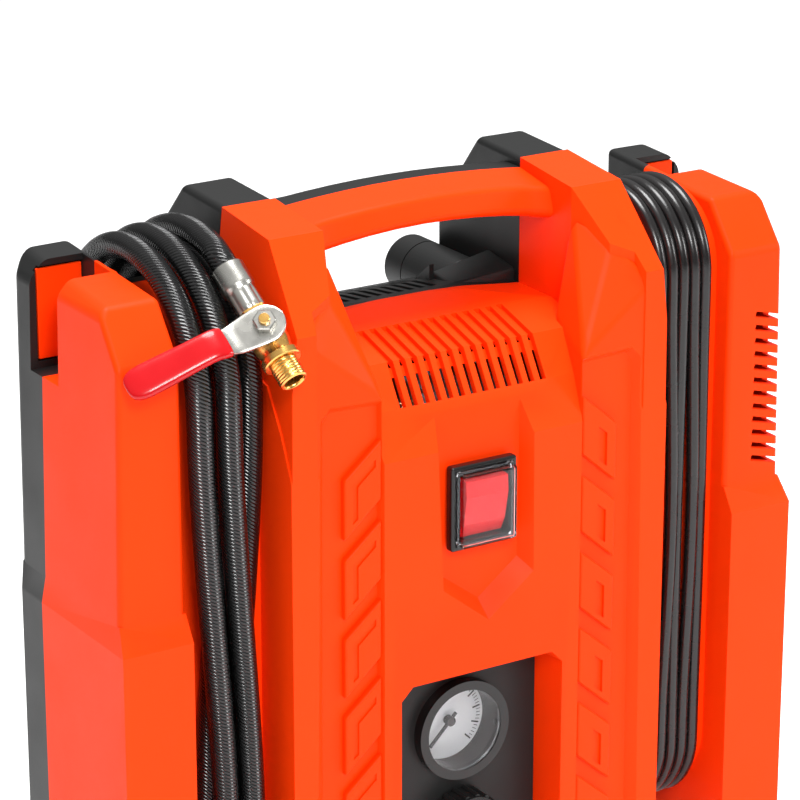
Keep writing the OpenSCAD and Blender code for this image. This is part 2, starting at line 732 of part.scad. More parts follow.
module piston_ring() {
  color(dark) translate([crank_x, shaft_y, piston_top - 7.9]) difference() {
    cylinder(r = bore_r - 0.05, h = 2.8);
    translate([0, 0, -1]) cylinder(r = bore_r - 1.7, h = 5);
  }
}
module pump_cylinder() {
  color([0.66, 0.67, 0.69]) translate([crank_x, shaft_y, 0]) difference() {
    union() {
      translate([0, 0, cyl_bottom]) cylinder(r = bore_r + 4, h = cyl_top - cyl_bottom);
      for (i = [0 : 6]) translate([0, 0, cyl_bottom + 4 + 6*i]) cylinder(r = bore_r + 8, h = 2);
      translate([-30, -30, cyl_bottom]) cube([60, 60, 3]);
      translate([-30, -30, cyl_top - 3]) cube([60, 60, 3]);
    }
    translate([0, 0, cyl_bottom - 1]) cylinder(r = bore_r, h = cyl_top);
    for (x = [-26, 26], y = [-26, 26]) translate([x, y, cyl_bottom - 1]) cylinder(r = 2.3, h = 80);
  }
}
module valve_plate() {
  color(steel) translate([crank_x, shaft_y, cyl_top]) difference() {
    translate([-30, -30, 0]) cube([60, 60, 2]);
    for (x = [-26, 26], y = [-26, 26]) translate([x, y, -1]) cylinder(r = 2.3, h = 5);
    for (s = [-1, 1]) translate([10*s, 0, -1]) cylinder(r = 3, h = 5);
  }
}
module cylinder_head() {
  color([0.66, 0.67, 0.69]) translate([crank_x, shaft_y, cyl_top + 2]) difference() {
    union() {
      translate([-30, -30, 0]) cube([60, 60, 12]);
      for (i = [0 : 6]) translate([-28 + 9*i, -21, 11.9]) cube([2, 42, 8]);
      translate([-30, 0, 6]) rotate([0, -90, 0]) cylinder(r = 5, h = 8);
    }
    for (s = [-1, 1]) translate([s*14 - 9, -18, -1]) cube([18, 36, 8]);
    for (x = [-26, 26], y = [-26, 26]) translate([x, y, -1]) cylinder(r = 2.3, h = 30);
    translate([-20, 0, 6]) rotate([0, -90, 0]) cylinder(r = 2.5, h = 30);
  }
}
module head_screws() {
  color(steel) for (x = [-26, 26], y = [-26, 26]) translate([crank_x + x, shaft_y + y, 0]) {
    translate([0, 0, cyl_top + 14]) cylinder(r = 3.8, h = 4);
    translate([0, 0, cyl_top - 12]) cylinder(r = 2.2, h = 26.1);
  }
}
module air_pipe() {
  color([0.75, 0.42, 0.25]) {
    x = crank_x - 38;
    z = cyl_top + 8;
    along_x(x - 5.9, x, shaft_y, z, 3);
    translate([x - 6, shaft_y, z]) sphere(r = 3.4);
    translate([x - 6, shaft_y + 10, z]) rotate([90, 0, 0]) cylinder(r = 3, h = 10);
    along_y(x - 6, shaft_y, 60, z, 3);
    translate([x - 6, 60, z]) sphere(r = 3.4);
    translate([x - 6, 60, knob_at[2]]) cylinder(r = 3, h = z - knob_at[2]);
    translate([x - 6, 60, knob_at[2]]) sphere(r = 3.4);
    along_y(x - 6, -24, 60, knob_at[2], 3);
  }
}
module outlet_pipe() {
  color([0.75, 0.42, 0.25]) {
    along_x(-95, -24, manifold_y, knob_at[2], 3);
    translate([-95, manifold_y, knob_at[2]]) sphere(r = 3.4);
    translate([-95, manifold_y, knob_at[2]]) cylinder(r = 3, h = 88 - knob_at[2]);
    translate([-95, manifold_y, 88]) sphere(r = 3.4);
    along_x(-112, -95, manifold_y, 88, 3);
    translate([-112, manifold_y, 88]) sphere(r = 3.4);
    along_y(-112, manifold_y, 36, 88, 3);
  }
}
module safety_valve() {
  color(brass) {
    translate([-18, manifold_y, knob_at[2] + 5.4]) cylinder(r = 4, h = 6);
    translate([-18, manifold_y, knob_at[2] + 11.3]) cylinder(r = 6, h = 9, $fn = 6);
    translate([-18, manifold_y, knob_at[2] + 20.2]) cylinder(r = 2, h = 8);
  }
}
module motor_mounts() {
  color(dark) for (x = [-50, 50], y = [-25, 44]) translate([x, y, base_z + 62]) cylinder(r = 7, h = 95 - 62 - base_z);
}

// ---- intake ----
module intake_pipe() { color(dark) translate([intake_x, 33.5, cyl_top + 14]) cylinder(r = 3, h = 284 - cyl_top - 14); }
module intake_cap() {
  color(shell_black) {
    difference() {
      along_y(intake_x, 64.05, 78.5, intake_z, intake_r);
      for (a = [0 : 45 : 315]) along_y(intake_x + 8*cos(a), 60, 80, intake_z + 8*sin(a), 1.6);
    }
    difference() {
      along_y(intake_x, 56, 64.1, intake_z, 11.3);
      along_y(intake_x, 55, 64, intake_z, 9.8);
    }
  }
}
module filter_foam() { color([0.3, 0.3, 0.32]) along_y(intake_x, 56, 64, intake_z, 9.8); }

front_shell();
rear_shell();
control_panel();
gauge_case();
gauge_dial();
gauge_needle();
gauge_lens();
regulator_body();
regulator_knob();
switch_housing();
switch_rocker();
switch_cover();
hose_fitting();
hose_winding();
hose_ferrule();
valve_body();
valve_ball();
lever_nut();
valve_lever();
lever_grip();
cord_winding();
cord_lead();
cord_relief();
mains_plug();
plug_pins();
rubber_feet();
shell_screws();
motor_stator();
field_windings();
motor_rotor();
commutator();
brush_holders();
motor_shaft();
motor_bearings();
fan_bracket();
crank_bracket();
bracket_rods();
cooling_fan();
crank_disc();
connecting_rod();
pump_piston();
piston_ring();
pump_cylinder();
valve_plate();
cylinder_head();
head_screws();
air_pipe();
outlet_pipe();
safety_valve();
motor_mounts();
intake_pipe();
intake_cap();
filter_foam();
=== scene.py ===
"""Looks of a portable case-type air compressor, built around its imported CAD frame."""
import json
import math

import bmesh
import bpy
import numpy as np
from mathutils import Matrix, Vector


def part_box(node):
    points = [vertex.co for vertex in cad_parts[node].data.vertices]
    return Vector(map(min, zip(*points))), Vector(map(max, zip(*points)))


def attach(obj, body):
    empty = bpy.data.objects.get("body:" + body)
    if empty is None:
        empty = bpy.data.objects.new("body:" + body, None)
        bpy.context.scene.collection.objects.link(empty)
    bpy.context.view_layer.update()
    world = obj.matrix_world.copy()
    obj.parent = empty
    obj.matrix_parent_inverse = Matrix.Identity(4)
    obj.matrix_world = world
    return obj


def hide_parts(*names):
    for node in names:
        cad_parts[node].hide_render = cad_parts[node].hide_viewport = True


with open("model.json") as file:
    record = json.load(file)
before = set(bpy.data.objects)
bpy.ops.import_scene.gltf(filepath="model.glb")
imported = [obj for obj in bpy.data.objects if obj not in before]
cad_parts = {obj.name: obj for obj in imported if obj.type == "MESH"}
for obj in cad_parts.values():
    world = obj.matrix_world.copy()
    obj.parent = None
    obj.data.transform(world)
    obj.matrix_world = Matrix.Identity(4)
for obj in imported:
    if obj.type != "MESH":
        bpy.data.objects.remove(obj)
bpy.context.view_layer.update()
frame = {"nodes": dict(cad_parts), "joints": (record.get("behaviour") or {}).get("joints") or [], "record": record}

MM = 0.001
nodes = frame["nodes"]
joints = {j["name"]: j for j in frame["joints"]}
mounts = {m["name"]: m for m in frame["record"]["mounts"]}


# ---------------------------------------------------------------- helpers

def box_mm(node):
    """Lowest and highest corners of a CAD node, in millimetres."""
    low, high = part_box(node)
    return low / MM, high / MM


def link(obj):
    bpy.context.scene.collection.objects.link(obj)
    return obj


def smooth(obj, angle=35):
    """Smooth shading that stays sharp over edges steeper than angle, with flat faces kept flat."""
    mesh = obj.data
    mesh.shade_smooth()
    mesh.set_sharp_from_angle(angle=math.radians(angle))
    weighted = obj.modifiers.new("weighted", "WEIGHTED_NORMAL")
    weighted.keep_sharp = True
    weighted.weight = 80
    return obj


def mesh_object(name, verts, faces):
    """A mesh object from points in millimetres."""
    mesh = bpy.data.meshes.new(name)
    mesh.from_pydata([Vector(v) * MM for v in verts], [], faces)
    mesh.validate()
    return link(bpy.data.objects.new(name, mesh))


def bm_object(name, bm):
    """A mesh object from a bmesh in millimetres, which is freed."""
    bmesh.ops.recalc_face_normals(bm, faces=bm.faces)
    bm.transform(Matrix.Scale(MM, 4))
    mesh = bpy.data.meshes.new(name)
    bm.to_mesh(mesh)
    bm.free()
    return link(bpy.data.objects.new(name, mesh))


def ease(t):
    """Smooth step: 0 below t = 0, 1 above t = 1."""
    t = min(1.0, max(0.0, t))
    return t * t * (3 - 2 * t)


def mix(a, b, t):
    return a + (b - a) * t


def ring_faces(rows, sides, closed=False):
    """Faces over rows of points, closed by two end faces or, when closed, back to the first row."""
    faces = []
    for i in range(rows if closed else rows - 1):
        j = (i + 1) % rows
        faces += [(i * sides + k, i * sides + (k + 1) % sides, j * sides + (k + 1) % sides, j * sides + k)
                  for k in range(sides)]
    if not closed:
        faces.append(tuple(reversed(range(sides))))
        faces.append(tuple((rows - 1) * sides + k for k in range(sides)))
    return faces


# ---------------------------------------------------------------- camera

def make_camera():
    azimuth, elevation = math.radians(-32.3), math.radians(19.0)
    back = Vector((math.sin(azimuth) * math.cos(elevation), -math.cos(azimuth) * math.cos(elevation),
                   math.sin(elevation)))
    data = bpy.data.cameras.new("camera")
    data.sensor_width = 36
    data.lens = 153.4
    data.clip_end = 50
    camera = link(bpy.data.objects.new("camera", data))
    camera.location = (-0.8185, -1.2947, 0.7849)
    camera.rotation_euler = back.to_track_quat("Z", "Y").to_euler()
    bpy.context.scene.camera = camera


make_camera()


# ---------------------------------------------------------------- routes of hose and cord

hose_d = 12.0
cord_d = 6.5
hose_low, hose_high = 81.0, 295.0
cord_low, cord_high = 68.0, 311.0
cord_y = -14.0
cord_turns = 5
cord_x, cord_pitch, cord_radius = 113.7, 6.56, 37.6
arc_steps = 14
hose_side_steps = 8
cord_side_steps = 10

valve_dir = Vector(mounts["hose_thread"]["axis"]).normalized()
ball_at = Vector(joints["valve_turn"]["pos_m"]) / MM
stem_dir = Vector(joints["valve_turn"]["axis"]).normalized()
lever_dir = valve_dir.cross(stem_dir).normalized()
ferrule_to_ball = 38
ferrule_at = ball_at - ferrule_to_ball * valve_dir


def dense(points, step):
    """Points a fixed step apart on a smooth curve through the given points."""
    p = np.array([tuple(q) for q in points], float)
    p = np.vstack([2 * p[0] - p[1], p, 2 * p[-1] - p[-2]])
    fine = []
    for i in range(1, len(p) - 2):
        for t in np.linspace(0, 1, 12, endpoint=False):
            a, b, c, d = p[i - 1], p[i], p[i + 1], p[i + 2]
            fine.append(0.5 * (2 * b + (c - a) * t + (2 * a - 5 * b + 4 * c - d) * t * t
                               + (3 * b - a - 3 * c + d) * t ** 3))
    fine.append(p[-2])
    fine = np.array(fine)
    s = np.concatenate([[0], np.cumsum(np.linalg.norm(np.diff(fine, axis=0), axis=1))])
    count = max(2, int(round(s[-1] / step)) + 1)
    at = np.linspace(0, s[-1], count)
    return np.column_stack([np.interp(at, s, fine[:, k]) for k in range(3)]), s[-1]


def wound(turns):
    """The hose over its core, up the rear and down the front. A turn is (x at the top, x at the bottom,
    radius at the top, radius at the bottom)."""
    points = []
    for k, (x_top, x_bottom, r_top, r_bottom) in enumerate(turns):
        for i in range(arc_steps):
            a = math.pi * i / arc_steps
            points.append((x_top, r_top * math.cos(a), hose_high + r_top * math.sin(a)))
        for i in range(hose_side_steps):
            t = i / hose_side_steps
            e = ease(t)
            points.append((mix(x_top, x_bottom, e), -mix(r_top, r_bottom, e), mix(hose_high, hose_low, t)))
        for i in range(arc_steps):
            a = math.pi + math.pi * i / arc_steps
            points.append((x_bottom, r_bottom * math.cos(a), hose_low + r_bottom * math.sin(a)))
        if k + 1 < len(turns):
            x_next, _, r_next, _ = turns[k + 1]
            for i in range(hose_side_steps):
                t = i / hose_side_steps
                e = ease(t)
                points.append((mix(x_bottom, x_next, e), mix(r_bottom, r_next, e),
                               mix(hose_low, hose_high, t)))
    return points


def tube(name, path, radius, sides):
    """A closed tube along a dense path in millimetres. Its UV map runs along it, one unit per 100 mm."""
    n = len(path)
    tangent = np.gradient(path, axis=0)
    tangent /= np.linalg.norm(tangent, axis=1)[:, None]
    normal = np.cross(tangent[0], (1.0, 0.2, 0.1))
    normal /= np.linalg.norm(normal)
    angles = np.linspace(0, 2 * math.pi, sides, endpoint=False)
    cos, sin = np.cos(angles)[:, None], np.sin(angles)[:, None]
    step = np.linalg.norm(path[1] - path[0])
    verts = []
    for i in range(n):
        normal = normal - tangent[i] * np.dot(normal, tangent[i])
        normal /= np.linalg.norm(normal)
        other = np.cross(tangent[i], normal)
        verts.append(path[i] + radius * (cos * normal + sin * other))
    tube_object = mesh_object(name, np.vstack(verts), ring_faces(n, sides))
    uv = tube_object.data.uv_layers.new(name="along")
    quads = (n - 1) * sides
    ring, side = np.divmod(np.arange(quads), sides)
    u = np.stack([side, side + 1, side + 1, side], axis=1) / sides
    v = np.stack([ring, ring, ring + 1, ring + 1], axis=1) * step / 100
    ends = np.zeros((2 * sides, 2))
    uv.data.foreach_set("uv", np.vstack([np.stack([u.ravel(), v.ravel()], axis=1), ends]).ravel())
    return tube_object


def make_hose(hose_end_pieces):
    """Two turns on the core, two more over them, and a last arc that ends in the valve's ferrule."""
    start = [(-112, 50.5, z) for z in (115, 145, 180, 215, 250, 275)]
    turns = [(-110.8, -123.5, 50.5, 50.5), (-124.0, -136.5, 50.5, 50.5), (-141.5, -132.5, 60, 62),
             (-128.0, -119.0, 62, 62)]
    points = start + wound(turns)
    points += [(-118.5, 62, 81), (-117.8, 62, 115), (-116.5, 62, 160), (-115.3, 62, 210), (-114.5, 62, 255),
               (-114.2, 61.5, 290), (-114, 57.5, 314), (-114, 47.5, 335), (-114, 31, 350.5),
               (-114, 11, 358.5), (-114.3, -8, 360.6), (-114.7, -24, 358.2)]
    points += [tuple(ferrule_at - 7 * valve_dir), tuple(ferrule_at), tuple(ferrule_at + 6 * valve_dir)]
    path, length = dense(points, 1.5)
    hose = tube("hose", path, hose_d / 2, sides=28)
    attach(hose, "case")
    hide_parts("hose_winding")
    return hose


def make_cord():
    """Five turns of mains cord round the right core, from the gland to the parked plug."""
    points = [(108.6, 27, 163), (111.5, 26, 154), (113.2, 24.5, 144), (113.7, 23.6, 134), (113.7, 23.6, 118),
              (113.7, 23.6, 95)]
    sway = (0.0, 1.6, -0.6, 1.2, 0.4)
    lift = (0.2, 2.6, 0.4, 2.2, 0.3)
    for k in range(cord_turns):
        x = cord_x + cord_pitch * k
        for i in range(arc_steps):
            a = math.pi * i / arc_steps
            points.append((x, cord_y + cord_radius * math.cos(a), cord_low - cord_radius * math.sin(a)))
        for i in range(cord_side_steps):
            t = i / cord_side_steps
            wave = math.sin(math.pi * t) ** 2
            points.append((x + sway[k] * wave, cord_y - cord_radius - lift[k] * wave,
                           mix(cord_low, cord_high, t)))
        for i in range(arc_steps):
            a = math.pi * i / arc_steps
            points.append((x, cord_y - cord_radius * math.cos(a), cord_high + cord_radius * math.sin(a)))
        low = cord_low if k < cord_turns - 1 else 205
        for i in range(cord_side_steps):
            t = i / cord_side_steps
            points.append((x + cord_pitch * ease(t), cord_y + cord_radius, mix(cord_high, low, t)))
    points += [(146.5, 23.6, 205), (146.5, 23.6, 190), (145, 25.5, 177), (141, 32, 162), (135, 40.5, 147),
               (129.5, 47.5, 132), (127, 50, 121), (127, 50, 117.3)]
    path, length = dense(points, 2.6)
    cord = tube("mains_cord", path, cord_d / 2, sides=20)
    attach(cord, "case")
    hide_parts("cord_winding", "cord_lead")
    make_plug()
    return cord


# ---------------------------------------------------------------- materials

class Shader:
    """A Principled material with procedural colour variation, roughness and relief."""

    def __init__(self, name, color, rough, metal=0.0, coat=0.0, coat_rough=0.1, specular=0.5):
        self.material = bpy.data.materials.new(name)
        self.material.use_nodes = True
        self.tree = self.material.node_tree
        self.principled = self.tree.nodes["Principled BSDF"]
        self.color = color
        self.rough = rough
        put = self.principled.inputs
        put["Base Color"].default_value = (*color, 1)
        put["Roughness"].default_value = rough
        put["Metallic"].default_value = metal
        put["Coat Weight"].default_value = coat
        put["Coat Roughness"].default_value = coat_rough
        put["Specular IOR Level"].default_value = specular
        self.coords = self.tree.nodes.new("ShaderNodeTexCoord")
        self.normal = None

    def join(self, output, target):
        self.tree.links.new(output, target)

    def node(self, kind, **values):
        node = self.tree.nodes.new(kind)
        for key, value in values.items():
            node.inputs[key].default_value = value
        return node

    def noise(self, scale, detail=3.0, stretch=None):
        noise = self.node("ShaderNodeTexNoise", Scale=scale, Detail=detail)
        source = self.coords.outputs["Object"]
        if stretch:
            mapping = self.node("ShaderNodeMapping", Scale=stretch)
            self.join(source, mapping.inputs["Vector"])
            source = mapping.outputs["Vector"]
        self.join(source, noise.inputs["Vector"])
        return noise.outputs["Fac"]

    def ranged(self, value, from_low, from_high, low, high):
        """Maps a value between two limits on to low to high."""
        node = self.node("ShaderNodeMapRange", **{"From Min": from_low, "From Max": from_high,
                                                  "To Min": low, "To Max": high})
        self.join(value, node.inputs["Value"])
        return node.outputs["Result"]

    def spread(self, value, low, high):
        """Maps a noise, which mostly stays near its middle, on to low to high."""
        return self.ranged(value, 0.3, 0.7, low, high)

    def blend(self, factor, first, second):
        """Mixes two colours. The first may be another node's output."""
        mixer = self.node("ShaderNodeMix")
        mixer.data_type = "RGBA"
        if isinstance(first, tuple):
            mixer.inputs[6].default_value = (*first, 1)
        else:
            self.join(first, mixer.inputs[6])
        mixer.inputs[7].default_value = (*second, 1)
        self.join(factor, mixer.inputs[0])
        return mixer.outputs[2]

    def vary_color(self, scale, amount, edge=0.0):
        """Patches a little lighter and darker, and a painted highlight on convex edges."""
        dark = tuple(c * (1 - amount) for c in self.color)
        light = tuple(min(1.0, c * (1 + amount)) for c in self.color)
        result = self.blend(self.spread(self.noise(scale), 0.0, 1.0), dark, light)
        if edge:
            # painted highlight: convex edges, found by pointiness, get a lighter colour
            geometry = self.node("ShaderNodeNewGeometry")
            edge_highlight = self.ranged(geometry.outputs["Pointiness"], 0.52, 0.62, 0.0, edge)
            result = self.blend(edge_highlight, result, tuple(min(1.0, c * 1.25 + 0.001) for c in self.color))
        self.join(result, self.principled.inputs["Base Color"])
        return self

    def vary_rough(self, scale, amount, stretch=None):
        value = self.spread(self.noise(scale, stretch=stretch), self.rough - amount, self.rough + amount)
        self.join(value, self.principled.inputs["Roughness"])
        return self

    def bump(self, height, strength, distance):
        """Adds a height to the relief made so far."""
        bump = self.node("ShaderNodeBump", Strength=strength, Distance=distance)
        self.join(height, bump.inputs["Height"])
        if self.normal:
            self.join(self.normal, bump.inputs["Normal"])
        self.normal = bump.outputs["Normal"]
        self.join(self.normal, self.principled.inputs["Normal"])
        return self

    def relief(self, scale, strength, distance, stretch=None):
        return self.bump(self.noise(scale, 2.0, stretch), strength, distance)

    def math(self, operation, a, b):
        """A Math node's output; a and b are numbers or other nodes' outputs."""
        node = self.node("ShaderNodeMath")
        node.operation = operation
        for slot, value in ((0, a), (1, b)):
            if isinstance(value, (int, float)):
                node.inputs[slot].default_value = value
            else:
                self.join(value, node.inputs[slot])
        return node.outputs[0]

    def ribs(self, pitch, starts, depth):
        """Helical ribs on a tube whose UV map runs along it, 100 mm to the unit; pitch in millimetres."""
        uv = self.node("ShaderNodeUVMap")
        uv.uv_map = "along"
        parts = self.node("ShaderNodeSeparateXYZ")
        self.join(uv.outputs["UV"], parts.inputs["Vector"])
        along = self.math("MULTIPLY", parts.outputs["Y"], 100 / pitch)
        around = self.math("MULTIPLY", parts.outputs["X"], starts)
        phase = self.math("MULTIPLY", self.math("ADD", along, around), 2 * math.pi)
        wave = self.math("MULTIPLY", self.math("ADD", self.math("SINE", phase, 0.0), 1.0), 0.5)
        return self.bump(self.math("POWER", wave, 0.6), 1.0, depth)


def plastic(name, color, rough, grain=0.25, specular=0.5):
    """Moulded plastic with a fine spark-eroded texture."""
    shader = Shader(name, color, rough, specular=specular)
    # edge=0.25 paints a highlight on the convex edges of each plastic
    shader.vary_color(9, 0.05, edge=0.25).vary_rough(40, 0.04)
    shader.relief(1600, grain, 0.00015).relief(14, 0.12, 0.0006)
    return shader.material


def metal(name, color, rough, stretch=(1, 1, 1)):
    """Metal with fine brushed or, stretched, layered relief."""
    shader = Shader(name, color, rough, metal=1.0)
    shader.vary_color(60, 0.06).vary_rough(90, 0.07, stretch).relief(420, 0.12, 0.0001, stretch)
    return shader.material


def clear(name, tint, rough):
    """Transparent plastic."""
    shader = Shader(name, tint, rough)
    shader.principled.inputs["Transmission Weight"].default_value = 1.0
    shader.principled.inputs["IOR"].default_value = 1.3
    shader.vary_rough(60, 0.02).relief(30, 0.05, 0.0002)
    return shader.material


orange = plastic("orange plastic", (0.95, 0.042, 0.0008), 0.45, specular=0.08)
black = plastic("black plastic", (0.011, 0.0112, 0.011), 0.42, grain=0.3, specular=0.25)
fan_black = plastic("fan plastic", (0.02, 0.02, 0.022), 0.5)
gloss_black = plastic("smooth black plastic", (0.006, 0.006, 0.006), 0.25, grain=0.05, specular=0.4)
card = plastic("white dial", (0.85, 0.85, 0.83), 0.5, grain=0.05)
brass = metal("brass", (0.80, 0.47, 0.13), 0.24)
plated = metal("bright plate", (0.52, 0.51, 0.47), 0.26)
bright = metal("machined steel", (0.66, 0.66, 0.67), 0.28)
laminated = metal("laminated steel", (0.30, 0.31, 0.33), 0.42, (40, 1, 1))
cast = metal("cast aluminium", (0.62, 0.63, 0.65), 0.5)
copper = metal("copper", (0.78, 0.36, 0.18), 0.35)
lens = clear("clear plastic", (0.97, 0.98, 1.0), 0.03)


def dipped_grip():
    shader = Shader("dipped red grip", (0.48, 0.001, 0.004), 0.22, coat=0.2, coat_rough=0.06, specular=0.3)
    return shader.vary_color(30, 0.06).vary_rough(60, 0.03).relief(60, 0.12, 0.0005).material


def rocker_with_painted_glow():
    shader = Shader("red rocker", (0.72, 0.0, 0.003), 0.25, specular=0.25)
    # the emission is a painted glow that brightens the red rocker
    shader.principled.inputs["Emission Color"].default_value = (1.0, 0.0, 0.005, 1)
    shader.principled.inputs["Emission Strength"].default_value = 0.12
    return shader.vary_color(80, 0.05).vary_rough(90, 0.03).material


def ribbed_hose():
    shader = Shader("ribbed hose", (0.004, 0.004, 0.004), 0.2)
    shader.vary_color(50, 0.25).vary_rough(120, 0.05).relief(900, 0.08, 0.0002)
    return shader.ribs(pitch=1.7, starts=11, depth=0.00034).material


def mains_cable():
    shader = Shader("mains cord", (0.006, 0.005, 0.005), 0.26)
    return shader.vary_color(60, 0.2).vary_rough(90, 0.05).relief(240, 0.12, 0.0002).material


def dull_rubber():
    shader = Shader("rubber", (0.02, 0.02, 0.02), 0.62)
    return shader.vary_color(40, 0.2).vary_rough(60, 0.06).relief(700, 0.3, 0.0002).material


def open_foam():
    shader = Shader("filter foam", (0.12, 0.12, 0.13), 0.9)
    return shader.vary_color(500, 0.5).relief(900, 0.9, 0.0006).material


grip_red = dipped_grip()
rocker_red = rocker_with_painted_glow()
hose_black = ribbed_hose()
cord_black = mains_cable()
rubber = dull_rubber()
foam = open_foam()


def assign(obj, material):
    obj.data.materials.clear()
    obj.data.materials.append(material)


def finish(obj, material, body, slot, *replaced, angle=35):
    """Shading, material and body of a piece, and the CAD nodes that it replaces. Its slot is not used."""
    smooth(obj, angle)
    assign(obj, material)
    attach(obj, body)
    if replaced:
        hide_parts(*replaced)
    return obj


cad_materials = {
    black: ["control_panel", "intake_cap", "regulator_knob"],
    fan_black: ["cooling_fan"],
    gloss_black: ["gauge_case", "gauge_needle", "brush_holders"],
    lens: ["gauge_lens"],
    card: ["gauge_dial"],
    brass: ["regulator_body", "hose_fitting", "safety_valve"],
    plated: ["valve_ball"],
    bright: ["shell_screws", "motor_shaft", "motor_bearings", "bracket_rods", "head_screws", "valve_plate"],
    laminated: ["motor_stator", "motor_rotor", "crank_disc"],
    cast: ["fan_bracket", "crank_bracket", "connecting_rod", "pump_piston", "pump_cylinder", "cylinder_head"],
    copper: ["field_windings", "commutator", "air_pipe", "outlet_pipe"],
    rubber: ["rubber_feet", "motor_mounts", "piston_ring", "intake_pipe"],
    rocker_red: ["switch_rocker"],
    foam: ["filter_foam"],
}
for material, names in cad_materials.items():
    for name in names:
        assign(nodes[name], material)


# ---------------------------------------------------------------- solids of the case

AXES = {"x": (1, 2), "y": (0, 2), "z": (0, 1)}


def cut(bm, at, normal):
    """Takes away what lies beyond a plane and closes the cut."""
    bmesh.ops.bisect_plane(bm, geom=bm.verts[:] + bm.edges[:] + bm.faces[:], dist=1e-5, plane_co=at,
                           plane_no=normal, clear_outer=True)
    bmesh.ops.holes_fill(bm, edges=[e for e in bm.edges if e.is_boundary], sides=0)


def convex(clips, low=(-260, -110, -20), high=(260, 110, 420)):
    """A box cut by the sides of convex outlines, each seen along an axis, in millimetres."""
    bm = bmesh.new()
    bmesh.ops.create_cube(bm, size=2)
    for v in bm.verts:
        v.co = Vector([high[k] if v.co[k] > 0 else low[k] for k in range(3)])
    for axis, outline in clips:
        u, w = AXES[axis]
        sides = list(zip(outline, outline[1:] + outline[:1]))
        area = sum(p[0] * q[1] - q[0] * p[1] for p, q in sides)
        sign = 1 if area > 0 else -1
        for p, q in sides:
            normal, at = Vector((0, 0, 0)), Vector((0, 0, 0))
            normal[u], normal[w] = sign * (q[1] - p[1]), sign * (p[0] - q[0])
            at[u], at[w] = p
            if normal.length > 1e-6:
                cut(bm, at, normal.normalized())
    bmesh.ops.recalc_face_normals(bm, faces=bm.faces)
    return bm


def hull(points):
    """The convex hull of some points."""
    bm = bmesh.new()
    for p in points:
        bm.verts.new(p)
    result = bmesh.ops.convex_hull(bm, input=bm.verts)
    loose = [g for g in result["geom_interior"] if isinstance(g, bmesh.types.BMVert)]
    bmesh.ops.delete(bm, geom=loose, context="VERTS")
    bmesh.ops.dissolve_limit(bm, angle_limit=math.radians(0.5), verts=bm.verts, edges=bm.edges)
    bmesh.ops.recalc_face_normals(bm, faces=bm.faces)
    return bm


def loft(rings):
    """A closed solid through rings of points, all with the same number of points."""
    bm = bmesh.new()
    rows = [[bm.verts.new(p) for p in ring] for ring in rings]
    bm.faces.new(rows[0])
    bm.faces.new(list(reversed(rows[-1])))
    for a, b in zip(rows, rows[1:]):
        for i in range(len(a)):
            j = (i + 1) % len(a)
            bm.faces.new([a[i], a[j], b[j], b[i]])
    bmesh.ops.recalc_face_normals(bm, faces=bm.faces)
    return bm


def extruded(axis, outline, low, high):
    """A prism of an outline seen along an axis, between two places on that axis."""
    along = "xyz".index(axis)
    return loft([[(*p[:along], place, *p[along:]) for p in outline] for place in (low, high)])


def frustum(y0, outline0, y1, outline1):
    """A solid between two outlines in X and Z with the same number of points."""
    return loft([[(x, y0, z) for x, z in outline0], [(x, y1, z) for x, z in outline1]])


def bar(low, high):
    return convex([], low, high)


def side_bar(s, near, far, low, high):
    """A box on side s of the case between two distances from its middle; low and high are (y, z)."""
    x_low, x_high = sorted((s * near, s * far))
    return bar((x_low, *low), (x_high, *high))


def rounded(bm, radius, split=(), small=0.5, segments=4):
    """Rounds the edges. Edges that lie in a split plane (axis, place) are only broken by a small radius."""
    least_angle = math.radians(7)

    def on_split(edge):
        return any(all(abs(v.co["xyz".index(axis)] - place) < 1e-3 for v in edge.verts)
                   for axis, place in split)

    def steep(edge):
        return len(edge.link_faces) == 2 and edge.calc_face_angle(0) > least_angle

    big = [e for e in bm.edges if steep(e) and not on_split(e)]
    if radius:
        bmesh.ops.bevel(bm, geom=big, offset=radius, offset_type="OFFSET", segments=segments, profile=0.5,
                        affect="EDGES", clamp_overlap=True)
    fine = [e for e in bm.edges if steep(e) and on_split(e)]
    if fine and small:
        bmesh.ops.bevel(bm, geom=fine, offset=small, offset_type="OFFSET", segments=2, profile=0.5,
                        affect="EDGES", clamp_overlap=True)
    return bm


def mirrored(bm):
    other = bm.copy()
    bmesh.ops.scale(other, vec=(-1, 1, 1), verts=other.verts)
    bmesh.ops.reverse_faces(other, faces=other.faces)
    return other


def combine(name, base, others, operation):
    """Boolean of a base object with bmeshes; base may be a bmesh too."""
    if isinstance(base, bmesh.types.BMesh):
        base = bm_object(name, base)
    for k, bm in enumerate(others):
        other = bm_object(f"{name}_tool_{k}", bm)
        modifier = base.modifiers.new("boolean", "BOOLEAN")
        modifier.operation = operation
        modifier.solver = "MANIFOLD"
        modifier.object = other
        evaluated = base.evaluated_get(bpy.context.evaluated_depsgraph_get())
        mesh = bpy.data.meshes.new_from_object(evaluated)
        base.modifiers.clear()
        old = base.data
        base.data = mesh
        bpy.data.meshes.remove(old)
        bpy.data.objects.remove(other)
    return base


# outline of the case, from the frame's boxes
shell_low, shell_high = box_mm("front_shell")
front_y = -73.0
rear_y = box_mm("rear_shell")[1].y
base_z = shell_low.z
cheek_x = shell_high.x
wall = 3.5
tower_in, tower_out = 67.5, 103.0
cheek_in = 150.0
top_z = shell_high.z
cheek_split = 13.0
cheek_step = 202.0
slot_front, slot_rear, slot_floor = -3.0, 24.5, 298.0
edge_radius = 3.4
panel_radius = 2.6

FRONT = ("z", [(-300, -120), (300, -120), (300, 0), (-300, 0)])
REAR = ("z", [(-300, 0), (300, 0), (300, 120), (-300, 120)])


